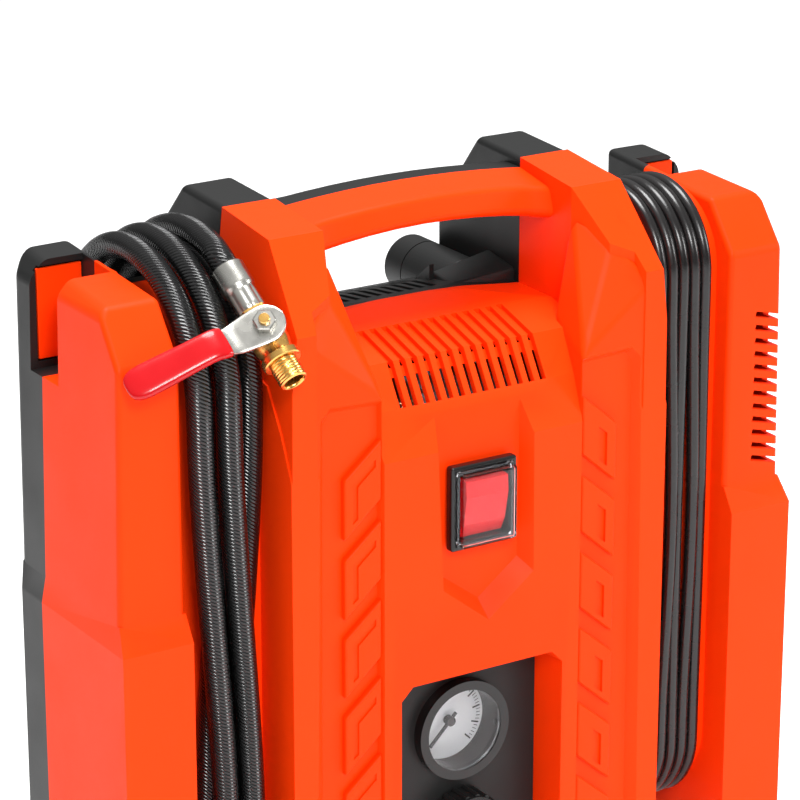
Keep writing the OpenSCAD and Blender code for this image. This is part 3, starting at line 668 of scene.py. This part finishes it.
def centre(g, half=None):
    """The middle of the case, g inside its outline."""
    clips = [
        ("x", [(front_y + g, base_z + 6), (front_y + g, 258 - g / 2), (-63.6 + g * 0.7, 279 - g * 0.7),
               (-52 + g / 2, 298 - g), (-26, 305.5 - g), (0, 309.5 - g), (26, 306 - g), (48 - g / 3, 300 - g),
               (70 - g, 262 - g), (rear_y - g, 254 - g), (rear_y - g, base_z + 6), (rear_y - 6, base_z + g),
               (front_y + 6, base_z + g)]),
        ("y", [(-tower_out + g, 0), (-tower_out + g, 301 - g), (-58, 306 - g), (-34, 308.7 - g), (0, 310 - g),
               (34, 308.7 - g), (58, 306 - g), (tower_out - g, 301 - g), (tower_out - g, 0)]),
    ]
    return convex(clips + ([half] if half else []))


def tower_clips(g):
    """Side and front outline of the right tower, g inside."""
    return [
        ("x", [(front_y + g, base_z + 6), (front_y + g, 325 - g / 2), (-42.5 + g / 2, 362 - g),
               (0, top_z - g), (38 - g / 2, top_z + 2 - g), (70 - g, 330 - g / 2), (rear_y - g, 322),
               (rear_y - g, base_z + 6), (rear_y - 6, base_z + g), (front_y + 6, base_z + g)]),
        ("y", [(tower_in + g, 0), (tower_in + g, 380), (93.6 - g, 380), (102 - g, 300),
               (tower_out - g, 200), (tower_out - g, 0)]),
    ]


def towers(g, half=None, radius=0.0):
    """Each tower is a wide part behind its crest line and a narrow strip in front."""
    behind = ("z", [(tower_in + g, 90), (tower_in + g, -42.5 + g / 2), (76 + g, -62 + g), (130, -80.8 + g),
                    (130, 90)])
    strip = ("z", [(86.7, -63), (91.8, -82), (130, -82), (130, 0), (86.7, 0)])
    inner_strip = ("z", [(93.5, -82), (130, -82), (130, 0), (93.5, 0)])
    if g:
        parts = [behind, inner_strip]
    elif half is REAR:
        parts = [behind]
    else:
        parts = [behind, strip]
    result = []
    for part in parts:
        bm = convex(tower_clips(g) + [part] + ([half] if half else []))
        if radius:
            rounded(bm, radius, [("y", 0)])
        result += [mirrored(bm), bm]
    return result


def cheek_side(g, upper):
    """Front outline of the upper or the lower part of the right cheek, g inside."""
    if upper:
        return ("y", [(cheek_in + g, 150), (cheek_in + g, 375 - g), (180.4 - g, 340), (183.2 - g, cheek_step),
                      (183.2 - g, 150)])
    return ("y", [(cheek_in + g, base_z + g), (cheek_in + g, cheek_step), (183.2 - g, cheek_step),
                  (cheek_x - g, 190), (cheek_x - g, 14), (cheek_x - 6, base_z + g)])


def cheeks(g, split=None, radius=0.0):
    """Each cheek has a wide lower part and a narrower upper one. Its front step makes it not convex."""
    front_low = [(front_y + 7 + g, base_z + 6), (front_y + 7 + g, 190 - g / 2), (-59 + g, cheek_step),
                 (45 - g, cheek_step), (45 - g, base_z + 6), (39, base_z + g), (-60, base_z + g)]
    front_high = [(-59 + g, 150), (-59 + g, 320 - g / 2), (-41 + g / 2, 344 - g), (45 - g, 350 - g),
                  (45 - g, 150)]
    plan = ("z", [(cheek_in + g, -90), (200, -90), (200 - g, 18.8), (160.7 - g, 60), (cheek_in + g, 60)])
    halves = {"front": (-120, cheek_split), "rear": (120, cheek_split)}
    result = []
    for outline, upper in ((front_low, False), (front_high, True)):
        clips = [("x", outline), plan, cheek_side(g, upper)]
        if split:
            far, near = halves[split]
            clips.append(("z", [(100, far), (300, far), (300, near), (100, near)]))
        bm = convex(clips)
        if radius:
            rounded(bm, radius, [("y", cheek_split), ("z", cheek_step), ("z", 150)], small=0.0)
        result += [mirrored(bm), bm]
    return result


def valleys():
    """The facets between each tower, the deck and the side panel, down to a ledge over the panel."""
    points = [(54.5, -72.4, 190), (54.5, -72.4, 289.5), (57.5, -58, 299), (58, -44, 302), (67.6, -43, 351),
              (76, -61.8, 335), (88, -66.8, 329), (92.5, -72.4, 319), (92.5, -72.4, 190), (92.5, -50, 190),
              (67.6, -43, 190)]
    bm = hull(points)
    return [mirrored(bm), bm]


def stadium(y, z0, z1, r, steps=24):
    """Outline in Y and Z of a winding core: straight sides and round ends."""
    arc = [(r * math.cos(math.pi * i / steps), r * math.sin(math.pi * i / steps)) for i in range(steps + 1)]
    return [(y + a, z1 + b) for a, b in arc] + [(y - a, z0 - b) for a, b in arc]


def cores(g, half=None):
    """The two cores that the hose and the cord are wound on, g inside."""
    clips = [half] if half else []
    left = convex([("x", stadium(0, hose_low, hose_high, 44 - g))] + clips, (-cheek_in - 1 - g, -110, 0),
                  (-tower_out + 1 + g, 110, 420))
    right = convex([("x", stadium(cord_y, cord_low, cord_high, 34 - g))] + clips,
                   (tower_out - 1 - g, -110, 0), (cheek_in + 1 + g, 110, 420))
    return [left, right]


def handle(front):
    """The carry handle, arched a little, in its front or its rear half."""
    outline = [(-21, 346), (-25, 349.5), (-21.5, 361.5), (0, 366), (12, 366), (21, 361), (25, 352), (23, 348),
               (17, 346)]
    corners = []
    n = len(outline)
    for i in range(n):
        p, q, r = (Vector(outline[(i + k) % n]) for k in (-1, 0, 1))
        a, b = (p - q).normalized(), (r - q).normalized()
        reach = min(2.6, 0.45 * (p - q).length, 0.45 * (r - q).length)
        for t in (0, 0.25, 0.5, 0.75, 1):
            start, end = q + a * reach, q + b * reach
            corners.append(start * (1 - t) ** 2 + q * 2 * t * (1 - t) + end * t * t)
    rings = []
    for x in (-70, -67, -64, -60, -54, -44, -30, -15, 0, 15, 30, 44, 54, 60, 64, 67, 70):
        drop = -3.2 * (x / 62) ** 2
        swell = 1 + 0.14 * ease((abs(x) - 52) / 15)
        arch = 1.0 - 0.16 * (1 - (x / 70) ** 2)
        rings.append([(x, c[0] * swell, 366 + (c[1] - 366) * arch + drop) for c in corners])
    bm = loft(rings)
    cut(bm, (0, 0, 0), (0, 1 if front else -1, 0))
    bmesh.ops.recalc_face_normals(bm, faces=bm.faces)
    return bm


def hollow():
    """The space inside both shells."""
    parts = [centre(wall)] + towers(wall) + cheeks(wall) + cores(wall)
    space = combine("space", parts[0], parts[1:], "UNION")
    keep = [bar((-48, -80, 34), (48, -45.5, 148)), bar((-31, -80, 162), (31, -62.5, 330))]
    for s in (-1, 1):
        keep.append(side_bar(s, 51, 92, (-80, 10), (-65.5, 296)))
        keep.append(side_bar(s, cheek_in - 5, 200, (slot_front - wall, slot_floor - wall),
                             (slot_rear + wall + 2.5, 400)))
    return combine("space", space, keep, "DIFFERENCE")


def to_bmesh(obj):
    """Turns an object back into a bmesh in millimetres."""
    bm = bmesh.new()
    bm.from_mesh(obj.data)
    bm.transform(Matrix.Scale(1 / MM, 4))
    bpy.data.objects.remove(obj)
    return bm


def deck_vents(count=13, pitch=6.4, half=1.65):
    """Grooves over the deck that open into slots down the steep face."""
    groove = [(-26, 320), (-26, 303.2), (-50.5, 296.0), (-54, 300), (-54, 320)]
    slot = [(-51.5, 301), (-46.5, 293.5), (-57, 272), (-63.4, 279.2), (-70, 284)]
    cutters = []
    for i in range(count):
        x = (i - (count - 1) // 2) * pitch
        cutters += [extruded("x", outline, x - half, x + half) for outline in (groove, slot)]
    return cutters


def cheek_vents(count=12, pitch=6.7, top=288):
    """Slanted slots through the front outer corner of the right cheek."""
    cutters = []
    for i in range(count):
        z = top - i * pitch
        slot = bar((166.2, -66, z - 1.5), (186, -49.5, z + 1.3))
        slant = Matrix.Rotation(math.radians(14), 3, "Y")
        bmesh.ops.rotate(slot, cent=(166, 0, z), matrix=slant, verts=slot.verts)
        cutters.append(slot)
    return cutters


pad_tops = [270 - 38.7 * k for k in range(6)]


def pads():
    """The raised lozenges beside the front panel."""
    result = []
    for z in pad_tops:
        outline = [(55.4, z), (75, z - 16.5), (75, z - 45.5), (55.4, z - 28.5)]
        bm = rounded(extruded("y", outline, -72.4, -68.0), 1.2, segments=3)
        result += [mirrored(bm), bm]
    return result


def pad_grooves():
    """A short groove in each right pad and an angled one in each left pad."""
    result = []
    for z in pad_tops:
        right = [(64.6, z - 16.5), (69.4, z - 20.5), (69.4, z - 37), (64.6, z - 33)]
        left = [(-58.6, z - 9), (-70.8, z - 19), (-70.8, z - 38), (-68, z - 36), (-68, z - 20.5),
                (-58.6, z - 12.5)]
        result += [extruded("y", right, -74, -71.0), extruded("y", left, -74, -71.5)]
    return result


def switch_recess():
    """The shallow shield-shaped hollow round the switch."""
    outer = [(-26.5, 274), (27.6, 274), (28.4, 188.5), (3, 169), (-22.5, 189)]
    inner = [(-23.4, 274), (23.6, 274), (22.8, 195.5), (1, 179), (-20.5, 195)]
    return frustum(front_y - 0.6, outer, -66.2, inner)


def side_recesses():
    """The sunk strip on each side of the front panel."""
    outer = [(54.2, 18), (54.2, 289.5), (83, 290.5), (88.5, 285), (92, 18)]
    inner = [(56.0, 22), (56.0, 285.6), (81.5, 286.4), (84.5, 282), (86.5, 22)]
    return [frustum(front_y - 0.5, [(s * x, z) for x, z in outer], -68.9, [(s * x, z) for x, z in inner])
            for s in (1, -1)]


def control_recess():
    """The recess of the control panel with its slanted sides, and the way through at its back."""
    rim = [(-45.2, 37), (45.2, 37), (45.2, 139), (39, 145.2), (-39, 145.2), (-45.2, 139)]
    back = [(-44, 38), (44, 38), (44, 138), (38, 144), (-38, 144), (-44, 138)]
    return [frustum(front_y - 0.5, rim, -49, back), bar((-40, -60, 42), (40, -40, 140))]


def front_details(shell):
    """Cuts the recesses and vents, and adds the pads and the bar across the slots."""
    cuts = side_recesses() + deck_vents() + cheek_vents() + [switch_recess()] + control_recess()
    cuts.append(bar((-15.5, -80, 210), (15.5, -50, 246)))
    shell = combine("front_case", shell, cuts, "DIFFERENCE")
    bar_yz = [(-50.4, 294.4), (-48.8, 293), (-51.0, 289.4), (-53.0, 290.4)]
    shell = combine("front_case", shell, pads() + [extruded("x", bar_yz, -44, 44)], "UNION")
    return combine("front_case", shell, pad_grooves(), "DIFFERENCE")


def pockets(y_low, y_high):
    """The space of the pocket in the top of each cheek."""
    return [side_bar(s, cheek_in + wall, 200, (y_low, slot_floor), (y_high, 400)) for s in (-1, 1)]


def make_pocket_plates():
    """The orange plate at the rear of each pocket."""
    for s, side in ((-1, "left"), (1, "right")):
        plate = side_bar(s, cheek_in + wall + 0.3, 176.5, (slot_rear + 0.4, slot_floor + 4),
                         (slot_rear + 2.4, 344.5))
        piece = bm_object(f"pocket_plate_{side}", rounded(plate, 0.6, segments=2))
        finish(piece, orange, "case", "orange_plastic")


def front_shell(space):
    body = rounded(centre(0, FRONT), panel_radius, [("y", 0)])
    parts = towers(0, FRONT, edge_radius) + cheeks(0, "front", edge_radius)
    parts += [rounded(v, 3.6) for v in valleys()] + cores(0, FRONT) + [handle(True)]
    shell = combine("front_case", body, parts, "UNION")
    shell = combine("front_case", shell, [space.copy()] + pockets(slot_front, 60), "DIFFERENCE")
    shell = front_details(shell)
    lips = [side_bar(s, cheek_in + 0.4, cheek_in + 3.0, (-4, slot_floor), (6, 346.5)) for s in (-1, 1)]
    return combine("front_case", shell, [rounded(lip, 0.8, segments=2) for lip in lips], "UNION")


def rear_vents():
    """Slots across the rear deck and through the rear wall."""
    cutters = []
    for i in range(12):
        x = -42 + 6 * i
        cutters.append(extruded("x", [(8, 296), (8, 315), (38, 310), (38, 290)], x - 1.6, x + 1.6))
    for i in range(10):
        z = 110 + 9 * i
        cutters.append(bar((-48, 60, z), (48, 80, z + 4.5)))
    return cutters


def circle(u, w, r, sides):
    turns = [2 * math.pi * i / sides for i in range(sides)]
    return [(u + r * math.cos(a), w + r * math.sin(a)) for a in turns]


def round_bar(x, y0, y1, z, r, sides=48):
    """A round bar along Y."""
    return extruded("y", circle(x, z, r, sides), y0, y1)


intake_x, intake_z = 55, 297
plug_at = Vector((127, 50, 70))
pin_side = 9.5


def screw_holes():
    """Sunk holes of the shell screws."""
    places = [(s * 90, z, 20) for s in (-1, 1) for z in (28, 215, 335)]
    places += [(s * 167, z, 30) for s in (-1, 1) for z in (32, 262)]
    return [round_bar(x, y, 80, z, 4.2, 32) for x, z, y in places]


def pin_holes():
    """Holes in the plug's shelf for its two pins."""
    return [extruded("z", circle(plug_at.x + pin_side * s, plug_at.y, 3.2, 24), 60, 80) for s in (-1, 1)]


def rear_fittings():
    """The intake socket, the plug's shelf, a rib beside the socket and the black foot by the right tower."""
    foot = [(31, 3, 296), (31, 26, 296), (34, 6, 308.5), (34, 25, 309.5), (68, 4, 311.5), (68, 27, 315),
            (68, 4, 296), (68, 27, 296)]
    return [rounded(round_bar(intake_x, 28, 64, intake_z, 14.5), 0.8, segments=2),
            rounded(bar((tower_out - 1, 28, 66), (cheek_in + 1, 70, 70)), 1.0, segments=2),
            extruded("x", [(22, 300), (22, 314), (40, 300)], 30.5, 33),
            rounded(hull(foot), 1.2, segments=2)]


def rear_shell(space):
    body = rounded(centre(0, REAR), panel_radius, [("y", 0)])
    parts = towers(0, REAR, edge_radius) + cheeks(0, "rear", edge_radius) + cores(0, REAR) + [handle(False)]
    shell = combine("rear_case", body, parts, "UNION")
    cuts = [space.copy()] + pockets(-10, slot_rear)
    cuts += [side_bar(s, cheek_in + wall, 177.4, (slot_rear - 1, slot_floor + 3.2), (slot_rear + 2.6, 345.6))
             for s in (-1, 1)]
    shell = combine("rear_case", shell, cuts, "DIFFERENCE")
    shell = combine("rear_case", shell, rear_fittings(), "UNION")
    cuts = [round_bar(intake_x, 20, 65, intake_z, 11.5), round_bar(-112, 30, 60, 88, 6.2, 32),
            round_bar(intake_x, 64, 71, intake_z, 14.8)] + rear_vents() + screw_holes() + pin_holes()
    return combine("rear_case", shell, cuts, "DIFFERENCE")


def make_case():
    """Both shells, hollowed by the same space, and the plates of the pockets."""
    space = to_bmesh(hollow())
    finish(front_shell(space), orange, "case", "orange_plastic", "front_shell")
    make_pocket_plates()
    finish(rear_shell(space), black, "case", "black_plastic", "rear_shell")
    space.free()


# ---------------------------------------------------------------- hose end and ball valve

def frame_on(direction, hint):
    """Three square axes, the last along a direction and the first as near to the hint as can be."""
    z = Vector(direction).normalized()
    x = (Vector(hint) - z * z.dot(Vector(hint))).normalized()
    return x, z.cross(x), z


def lathe(name, profile, at, direction, hint, sides=48, shape=None, bore=None):
    """A turned part. A profile is a list of (distance along, radius), shape(along, angle) scales the radius,
    and bore is the profile of its hollow."""
    x, y, z = frame_on(direction, hint)
    verts = []
    rows = list(profile) + ([(s, -r) for s, r in reversed(bore)] if bore else [])
    for s, r in rows:
        for k in range(sides):
            a = 2 * math.pi * k / sides
            factor = shape(s, a) if shape and r > 0 else 1.0
            verts.append(Vector(at) + z * s + (x * math.cos(a) + y * math.sin(a)) * abs(r) * factor)
    return mesh_object(name, verts, ring_faces(len(rows), sides, closed=bool(bore)))


def hexagon(angle):
    """Radius factor of a hexagon whose corners are slightly rounded."""
    a = (angle + math.pi / 6) % (math.pi / 3) - math.pi / 6
    return min(1.0, 0.885 / math.cos(a))


def make_ferrule():
    """Crimped sleeve: a plain collar, then a stretch pressed into flutes."""
    profile = [(0, 6.3), (0.2, 7.4), (0.8, 7.9), (11.2, 7.9), (12.4, 7.5), (13.4, 6.9), (14.2, 6.8)]
    profile += [(15 + i, 6.9) for i in range(9)]
    profile += [(24.4, 6.6), (25, 6.0)]

    def flutes(s, a):
        return 1 - 0.07 * ease((s - 13.5) / 2) * (0.5 + 0.5 * math.cos(8 * a)) ** 3

    obj = lathe("hose_sleeve", profile, ferrule_at, valve_dir, stem_dir, 96, flutes)
    return finish(obj, plated, "case", "plated_steel", "hose_ferrule")


def make_valve_body():
    """Brass body with hexagon flats, a boss under the stem, a collar and an open threaded end."""
    profile = [(25, 5.5), (25.1, 8.3), (25.6, 8.9), (30.4, 8.9), (31.0, 8.2), (31.4, 7.6)]
    profile += [(32.5, 8.3), (34, 8.6), (38, 8.75), (42, 8.6), (44, 8.3), (45.5, 7.8), (47, 7.5), (48.4, 7.6)]
    profile += [(48.8, 8.6), (49.3, 9.0), (52.2, 9.0), (52.7, 8.5), (52.8, 6.2), (53.4, 6.1)]
    thread_pitch, thread_start, thread_length, thread_rows = 1.35, 53.5, 9.1, 46
    profile += [(thread_start + thread_length * i / (thread_rows - 1), 6.5) for i in range(thread_rows)]
    profile += [(62.8, 6.1), (63, 5.6)]
    bore = [(40, 0.1), (40.1, 4.4), (61.6, 4.4), (62.6, 4.9), (63, 5.3)]

    def shape(s, a):
        if 25.05 < s < 31.2:
            return hexagon(a)
        if 53.45 < s < 62.7:
            phase = (s / thread_pitch + a / (2 * math.pi)) % 1.0
            return 1.0 + 0.055 * (1 - abs(2 * phase - 1)) - 0.04
        return 1.0

    body = lathe("valve_case", profile, ferrule_at, valve_dir, stem_dir, 72, shape, bore)
    finish(body, brass, "case", "brass", "valve_body")
    boss_profile = [(4, 5.6), (7.4, 5.4), (8.6, 5.0), (8.9, 5.6), (11.0, 5.6), (11.5, 5.1)]
    boss = lathe("valve_boss", boss_profile, ball_at, stem_dir, lever_dir, bore=[(4, 2.6), (11.5, 2.6)])
    finish(boss, brass, "case", "brass")
    return body, boss


def lofted(name, stations, sides):
    """A flat bar along the lever. A station is (along, height, tilt, half width, half thickness,
    squareness)."""
    x, y, z = lever_dir, valve_dir, stem_dir
    verts = []
    for along, height, tilt, half_w, half_t, power in stations:
        up = z * math.cos(tilt) - x * math.sin(tilt)
        for k in range(sides):
            a = 2 * math.pi * k / sides
            c, s = math.cos(a), math.sin(a)
            across = math.copysign(abs(c) ** power, c) * half_w
            lift = math.copysign(abs(s) ** power, s) * half_t
            verts.append(ball_at + x * along + z * height + y * across + up * lift)
    obj = mesh_object(name, verts, ring_faces(len(stations), sides))
    bm = bmesh.new()
    bm.from_mesh(obj.data)
    bmesh.ops.recalc_face_normals(bm, faces=bm.faces)
    bm.to_mesh(obj.data)
    bm.free()
    return obj


def make_lever():
    """Pressed plate with a round head, bent up to the grip."""
    stations = []
    for i in range(13):
        a = math.pi * (0.04 + 0.5 * i / 12)
        stations.append((-9.2 * math.cos(a), 13, 0, 9.2 * math.sin(a), 1.0, 0.45))
    bend = [(3, 13, 0, 9.1), (7, 13, 0, 8.6), (12, 13, 0, 7.9), (15, 13.1, 0.2, 7.3), (18, 14.4, 0.52, 6.5),
            (22, 16.8, 0.55, 6.0), (24.5, 18, 0.25, 6.0), (27, 18.2, 0, 6.0), (60, 18.2, 0, 6.0)]
    stations += [(*place, 1.0, 0.45) for place in bend]
    plate = lofted("lever_plate", stations, 32)
    finish(plate, plated, "valve", "plated_steel", "valve_lever")
    grip = [(19.0, 15.0, 0.52, 6.9, 1.7, 0.6), (19.6, 15.3, 0.52, 7.4, 2.3, 0.6),
            (22, 16.8, 0.5, 7.5, 2.5, 0.6), (24.6, 17.9, 0.28, 7.3, 2.5, 0.6),
            (28, 18.2, 0.03, 7.2, 2.5, 0.6), (36, 18.2, 0, 7.3, 2.6, 0.62),
            (48, 18.2, 0, 7.7, 2.7, 0.62), (58, 18.2, 0, 7.9, 2.7, 0.62), (61.5, 18.2, 0, 7.6, 2.6, 0.62),
            (64, 18.2, 0, 6.8, 2.4, 0.62), (65.8, 18.2, 0, 5.4, 2.0, 0.62), (66.7, 18.2, 0, 3.6, 1.4, 0.62),
            (67.0, 18.2, 0, 1.8, 0.8, 0.62)]
    sleeve = lofted("lever_sleeve", grip, 40)
    finish(sleeve, grip_red, "valve", "red_plastic", "lever_grip", angle=60)
    nut_profile = [(14.1, 4.4), (14.3, 5.3), (17.4, 5.3), (17.9, 4.7)]
    nut = lathe("stem_nut", nut_profile, ball_at, stem_dir, lever_dir,
                shape=lambda along, angle: hexagon(angle), bore=[(14.1, 2.55), (17.9, 2.55)])
    finish(nut, plated, "valve", "plated_steel", "lever_nut")
    return plate, sleeve, nut


def make_switch():
    """Bezel with a lip, and the clear splash cover with its rim."""
    low, high = box_mm("switch_housing")
    z = (low.z + high.z) / 2

    def opening(y_high):
        return bar((-13, -80, z - 16.2), (13, y_high, z + 16.2))

    body = rounded(bar((-18, front_y, low.z), (18, -67.55, high.z)), 1.4, segments=3)
    bezel = combine("switch_bezel", body, [opening(-50)], "DIFFERENCE")
    sides = rounded(bar((-15.3, -67.6, z - 17.8), (15.3, -40, z + 17.8)), 0.8, segments=2)
    bezel = combine("switch_bezel", bezel, [sides], "UNION")
    bezel = combine("switch_bezel", bezel, [opening(-52)], "DIFFERENCE")
    finish(bezel, gloss_black, "case", "gloss_black", "switch_housing")

    low, high = box_mm("switch_cover")
    seat_y = -73.02
    outer = rounded(bar((low.x, low.y, low.z), (high.x, seat_y, high.z)), 1.6)
    inner = rounded(bar((low.x + 1, low.y + 0.9, low.z + 1), (high.x - 1, -70, high.z - 1)), 1.0, segments=3)
    cover = combine("splash_cover", outer, [inner], "DIFFERENCE")
    rim = combine("cover_rim", bar((low.x - 0.6, -73.9, low.z - 0.6), (high.x + 0.6, seat_y, high.z + 0.6)),
                  [bar((low.x + 1, -80, low.z + 1), (high.x - 1, -60, high.z - 1))], "DIFFERENCE")
    finish(cover, lens, "case", "clear_plastic", "switch_cover")
    finish(rim, lens, "case", "clear_plastic")


def make_stem_tip():
    """Brass end of the stem, standing out of its nut."""
    tip = lathe("stem_tip", [(17.0, 2.6), (19.3, 2.6), (19.7, 2.2)], ball_at, stem_dir, lever_dir, 32)
    return finish(tip, brass, "valve", "brass")


def make_plug():
    """Moulded two-pin plug, with flutes round its grip and a ribbed sleeve on the cord."""
    profile = [(0.02, 15.5), (0.3, 17.4), (1.2, 18.3), (2.2, 18.5), (14, 18.5), (16.5, 18.2), (19, 17),
               (21, 15), (23, 13.2), (25.5, 12.2), (29, 11.8), (30.8, 11.2), (31.8, 9.6), (32.2, 7.2)]
    for i in range(7):
        start, r = 32.8 + 2.1 * i, 5.9 - 0.15 * i
        profile += [(start, r), (start + 0.9, r), (start + 1.2, 4.7), (start + 1.8, 4.7)]

    def flutes(s, a):
        return 1 - 0.05 * ease(s / 6) * ease((23 - s) / 5) * (0.5 + 0.5 * math.cos(14 * a)) ** 2

    up, side = (0, 0, 1), (1, 0, 0)
    body = lathe("plug_body", profile, plug_at, up, side, 112, flutes)
    finish(body, rubber, "case", "rubber", "mains_plug")
    pin_profile = [(0, 0.9), (0.4, 1.7), (1.3, 2.3), (2, 2.4), (19, 2.4)]
    pins = []
    for s, name in ((-1, "plug_pin_left"), (1, "plug_pin_right")):
        pin = lathe(name, pin_profile, plug_at + Vector((pin_side * s, 0, -19)), up, side, 32)
        pins.append(finish(pin, brass, "case", "brass"))
    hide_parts("plug_pins")
    return [body] + pins


def make_relief():
    """Tapered, grooved sleeve where the mains cord leaves the tower, with its flange inside the wall."""
    at, along = Vector((99, 27, 185)), Vector((0.4, 0, -0.917)).normalized()
    profile = [(-6, 5.2), (-5.4, 5.9), (6.5, 5.9)]
    for i in range(8):
        start, r = 7 + 2.1 * i, mix(5.8, 4.2, i / 7)
        profile += [(start, r), (start + 1.1, r), (start + 1.4, r - 0.8), (start + 1.9, r - 0.8)]
    profile += [(24, 3.9)]
    sleeve = lathe("relief_sleeve", profile, at, along, (0, 1, 0), 48)
    finish(sleeve, rubber, "case", "rubber", "cord_relief")
    flange = lathe("relief_flange", [(0, 8.6), (0.4, 9), (2.6, 9), (3, 8.6)], (96.4, 27, 188), (1, 0, 0),
                   (0, 1, 0), 48)
    finish(flange, rubber, "case", "rubber")


def make_dial_scale():
    """Strokes round the gauge dial, eleven long and forty short, with no lettering."""
    low, high = box_mm("gauge_dial")
    centre_x, centre_z = (low.x + high.x) / 2, (low.z + high.z) / 2
    rim = (high.x - low.x) / 2 - 1.4
    strokes, sweep, first = 51, 270, 225
    verts, faces = [], []
    for i in range(strokes):
        angle = math.radians(first - sweep * i / (strokes - 1))
        out = Vector((math.cos(angle), 0, math.sin(angle)))
        side = Vector((-out.z, 0, out.x))
        length, half = (4.2, 0.35) if i % 5 == 0 else (2.2, 0.14)
        base = len(verts)
        for y in (low.y - 0.12, low.y + 0.05):
            for reach, across in ((rim, half), (rim, -half), (rim - length, -half), (rim - length, half)):
                verts.append(Vector((centre_x, y, centre_z)) + out * reach + side * across)
        box_faces = ((0, 1, 2, 3), (7, 6, 5, 4), (0, 4, 5, 1), (1, 5, 6, 2), (2, 6, 7, 3), (3, 7, 4, 0))
        faces += [tuple(base + k for k in face) for face in box_faces]
    scale = mesh_object("dial_scale", verts, faces)
    finish(scale, gloss_black, "case", "gloss_black")


sleeve = make_ferrule()
valve_case, valve_boss = make_valve_body()
lever_plate, lever_sleeve, stem_nut = make_lever()
hose = smooth(make_hose([sleeve, valve_case, valve_boss, lever_plate, lever_sleeve, stem_nut, make_stem_tip(),
                         nodes["valve_ball"]]), 70)
assign(hose, hose_black)
cord = smooth(make_cord(), 60)
assign(cord, cord_black)
make_relief()
make_case()
make_switch()
make_dial_scale()


# ---------------------------------------------------------------- floor and light

def make_floor(half_width=6, glow=0.14):
    bm = bmesh.new()
    bmesh.ops.create_grid(bm, x_segments=2, y_segments=2, size=half_width)
    mesh = bpy.data.meshes.new("floor")
    bm.to_mesh(mesh)
    bm.free()
    floor = link(bpy.data.objects.new("floor", mesh))
    shader = Shader("pale floor", (0.93, 0.93, 0.93), 0.8).vary_color(2, 0.01)
    shader.principled.inputs["Emission Color"].default_value = (1, 1, 1, 1)
    shader.principled.inputs["Emission Strength"].default_value = glow
    assign(floor, shader.material)


def make_world():
    """White surroundings, brighter overhead than at the horizon."""
    world = bpy.data.worlds.new("studio")
    bpy.context.scene.world = world
    world.use_nodes = True
    tree = world.node_tree
    coords = tree.nodes.new("ShaderNodeTexCoord")
    parts = tree.nodes.new("ShaderNodeSeparateXYZ")
    ramp = tree.nodes.new("ShaderNodeMapRange")
    ramp.interpolation_type = "SMOOTHSTEP"
    for key, value in (("From Min", -0.05), ("From Max", 0.75), ("To Min", 0.12), ("To Max", 0.62)):
        ramp.inputs[key].default_value = value
    tree.links.new(coords.outputs["Generated"], parts.inputs["Vector"])
    tree.links.new(parts.outputs["Z"], ramp.inputs["Value"])
    tree.links.new(ramp.outputs["Result"], tree.nodes["Background"].inputs["Strength"])
    tree.nodes["Background"].inputs["Color"].default_value = (1, 1, 1, 1)


def make_light(name, at, size, power):
    """A round lamp aimed at the middle of the case."""
    data = bpy.data.lights.new(name, "AREA")
    data.shape = "DISK"
    data.size = size
    data.energy = power
    lamp = link(bpy.data.objects.new(name, data))
    lamp.location = at
    lamp.rotation_euler = (Vector(at) - Vector((0, 0, 0.2))).to_track_quat("Z", "Y").to_euler()


make_floor()
make_world()
make_light("key", (-0.7, -2.1, 1.8), size=0.8, power=50)
make_light("top", (0.1, 0.2, 2.2), size=1.1, power=52)
make_light("right", (1.9, -1.2, 0.9), size=0.7, power=16)
bpy.context.scene.view_settings.view_transform = "Standard"
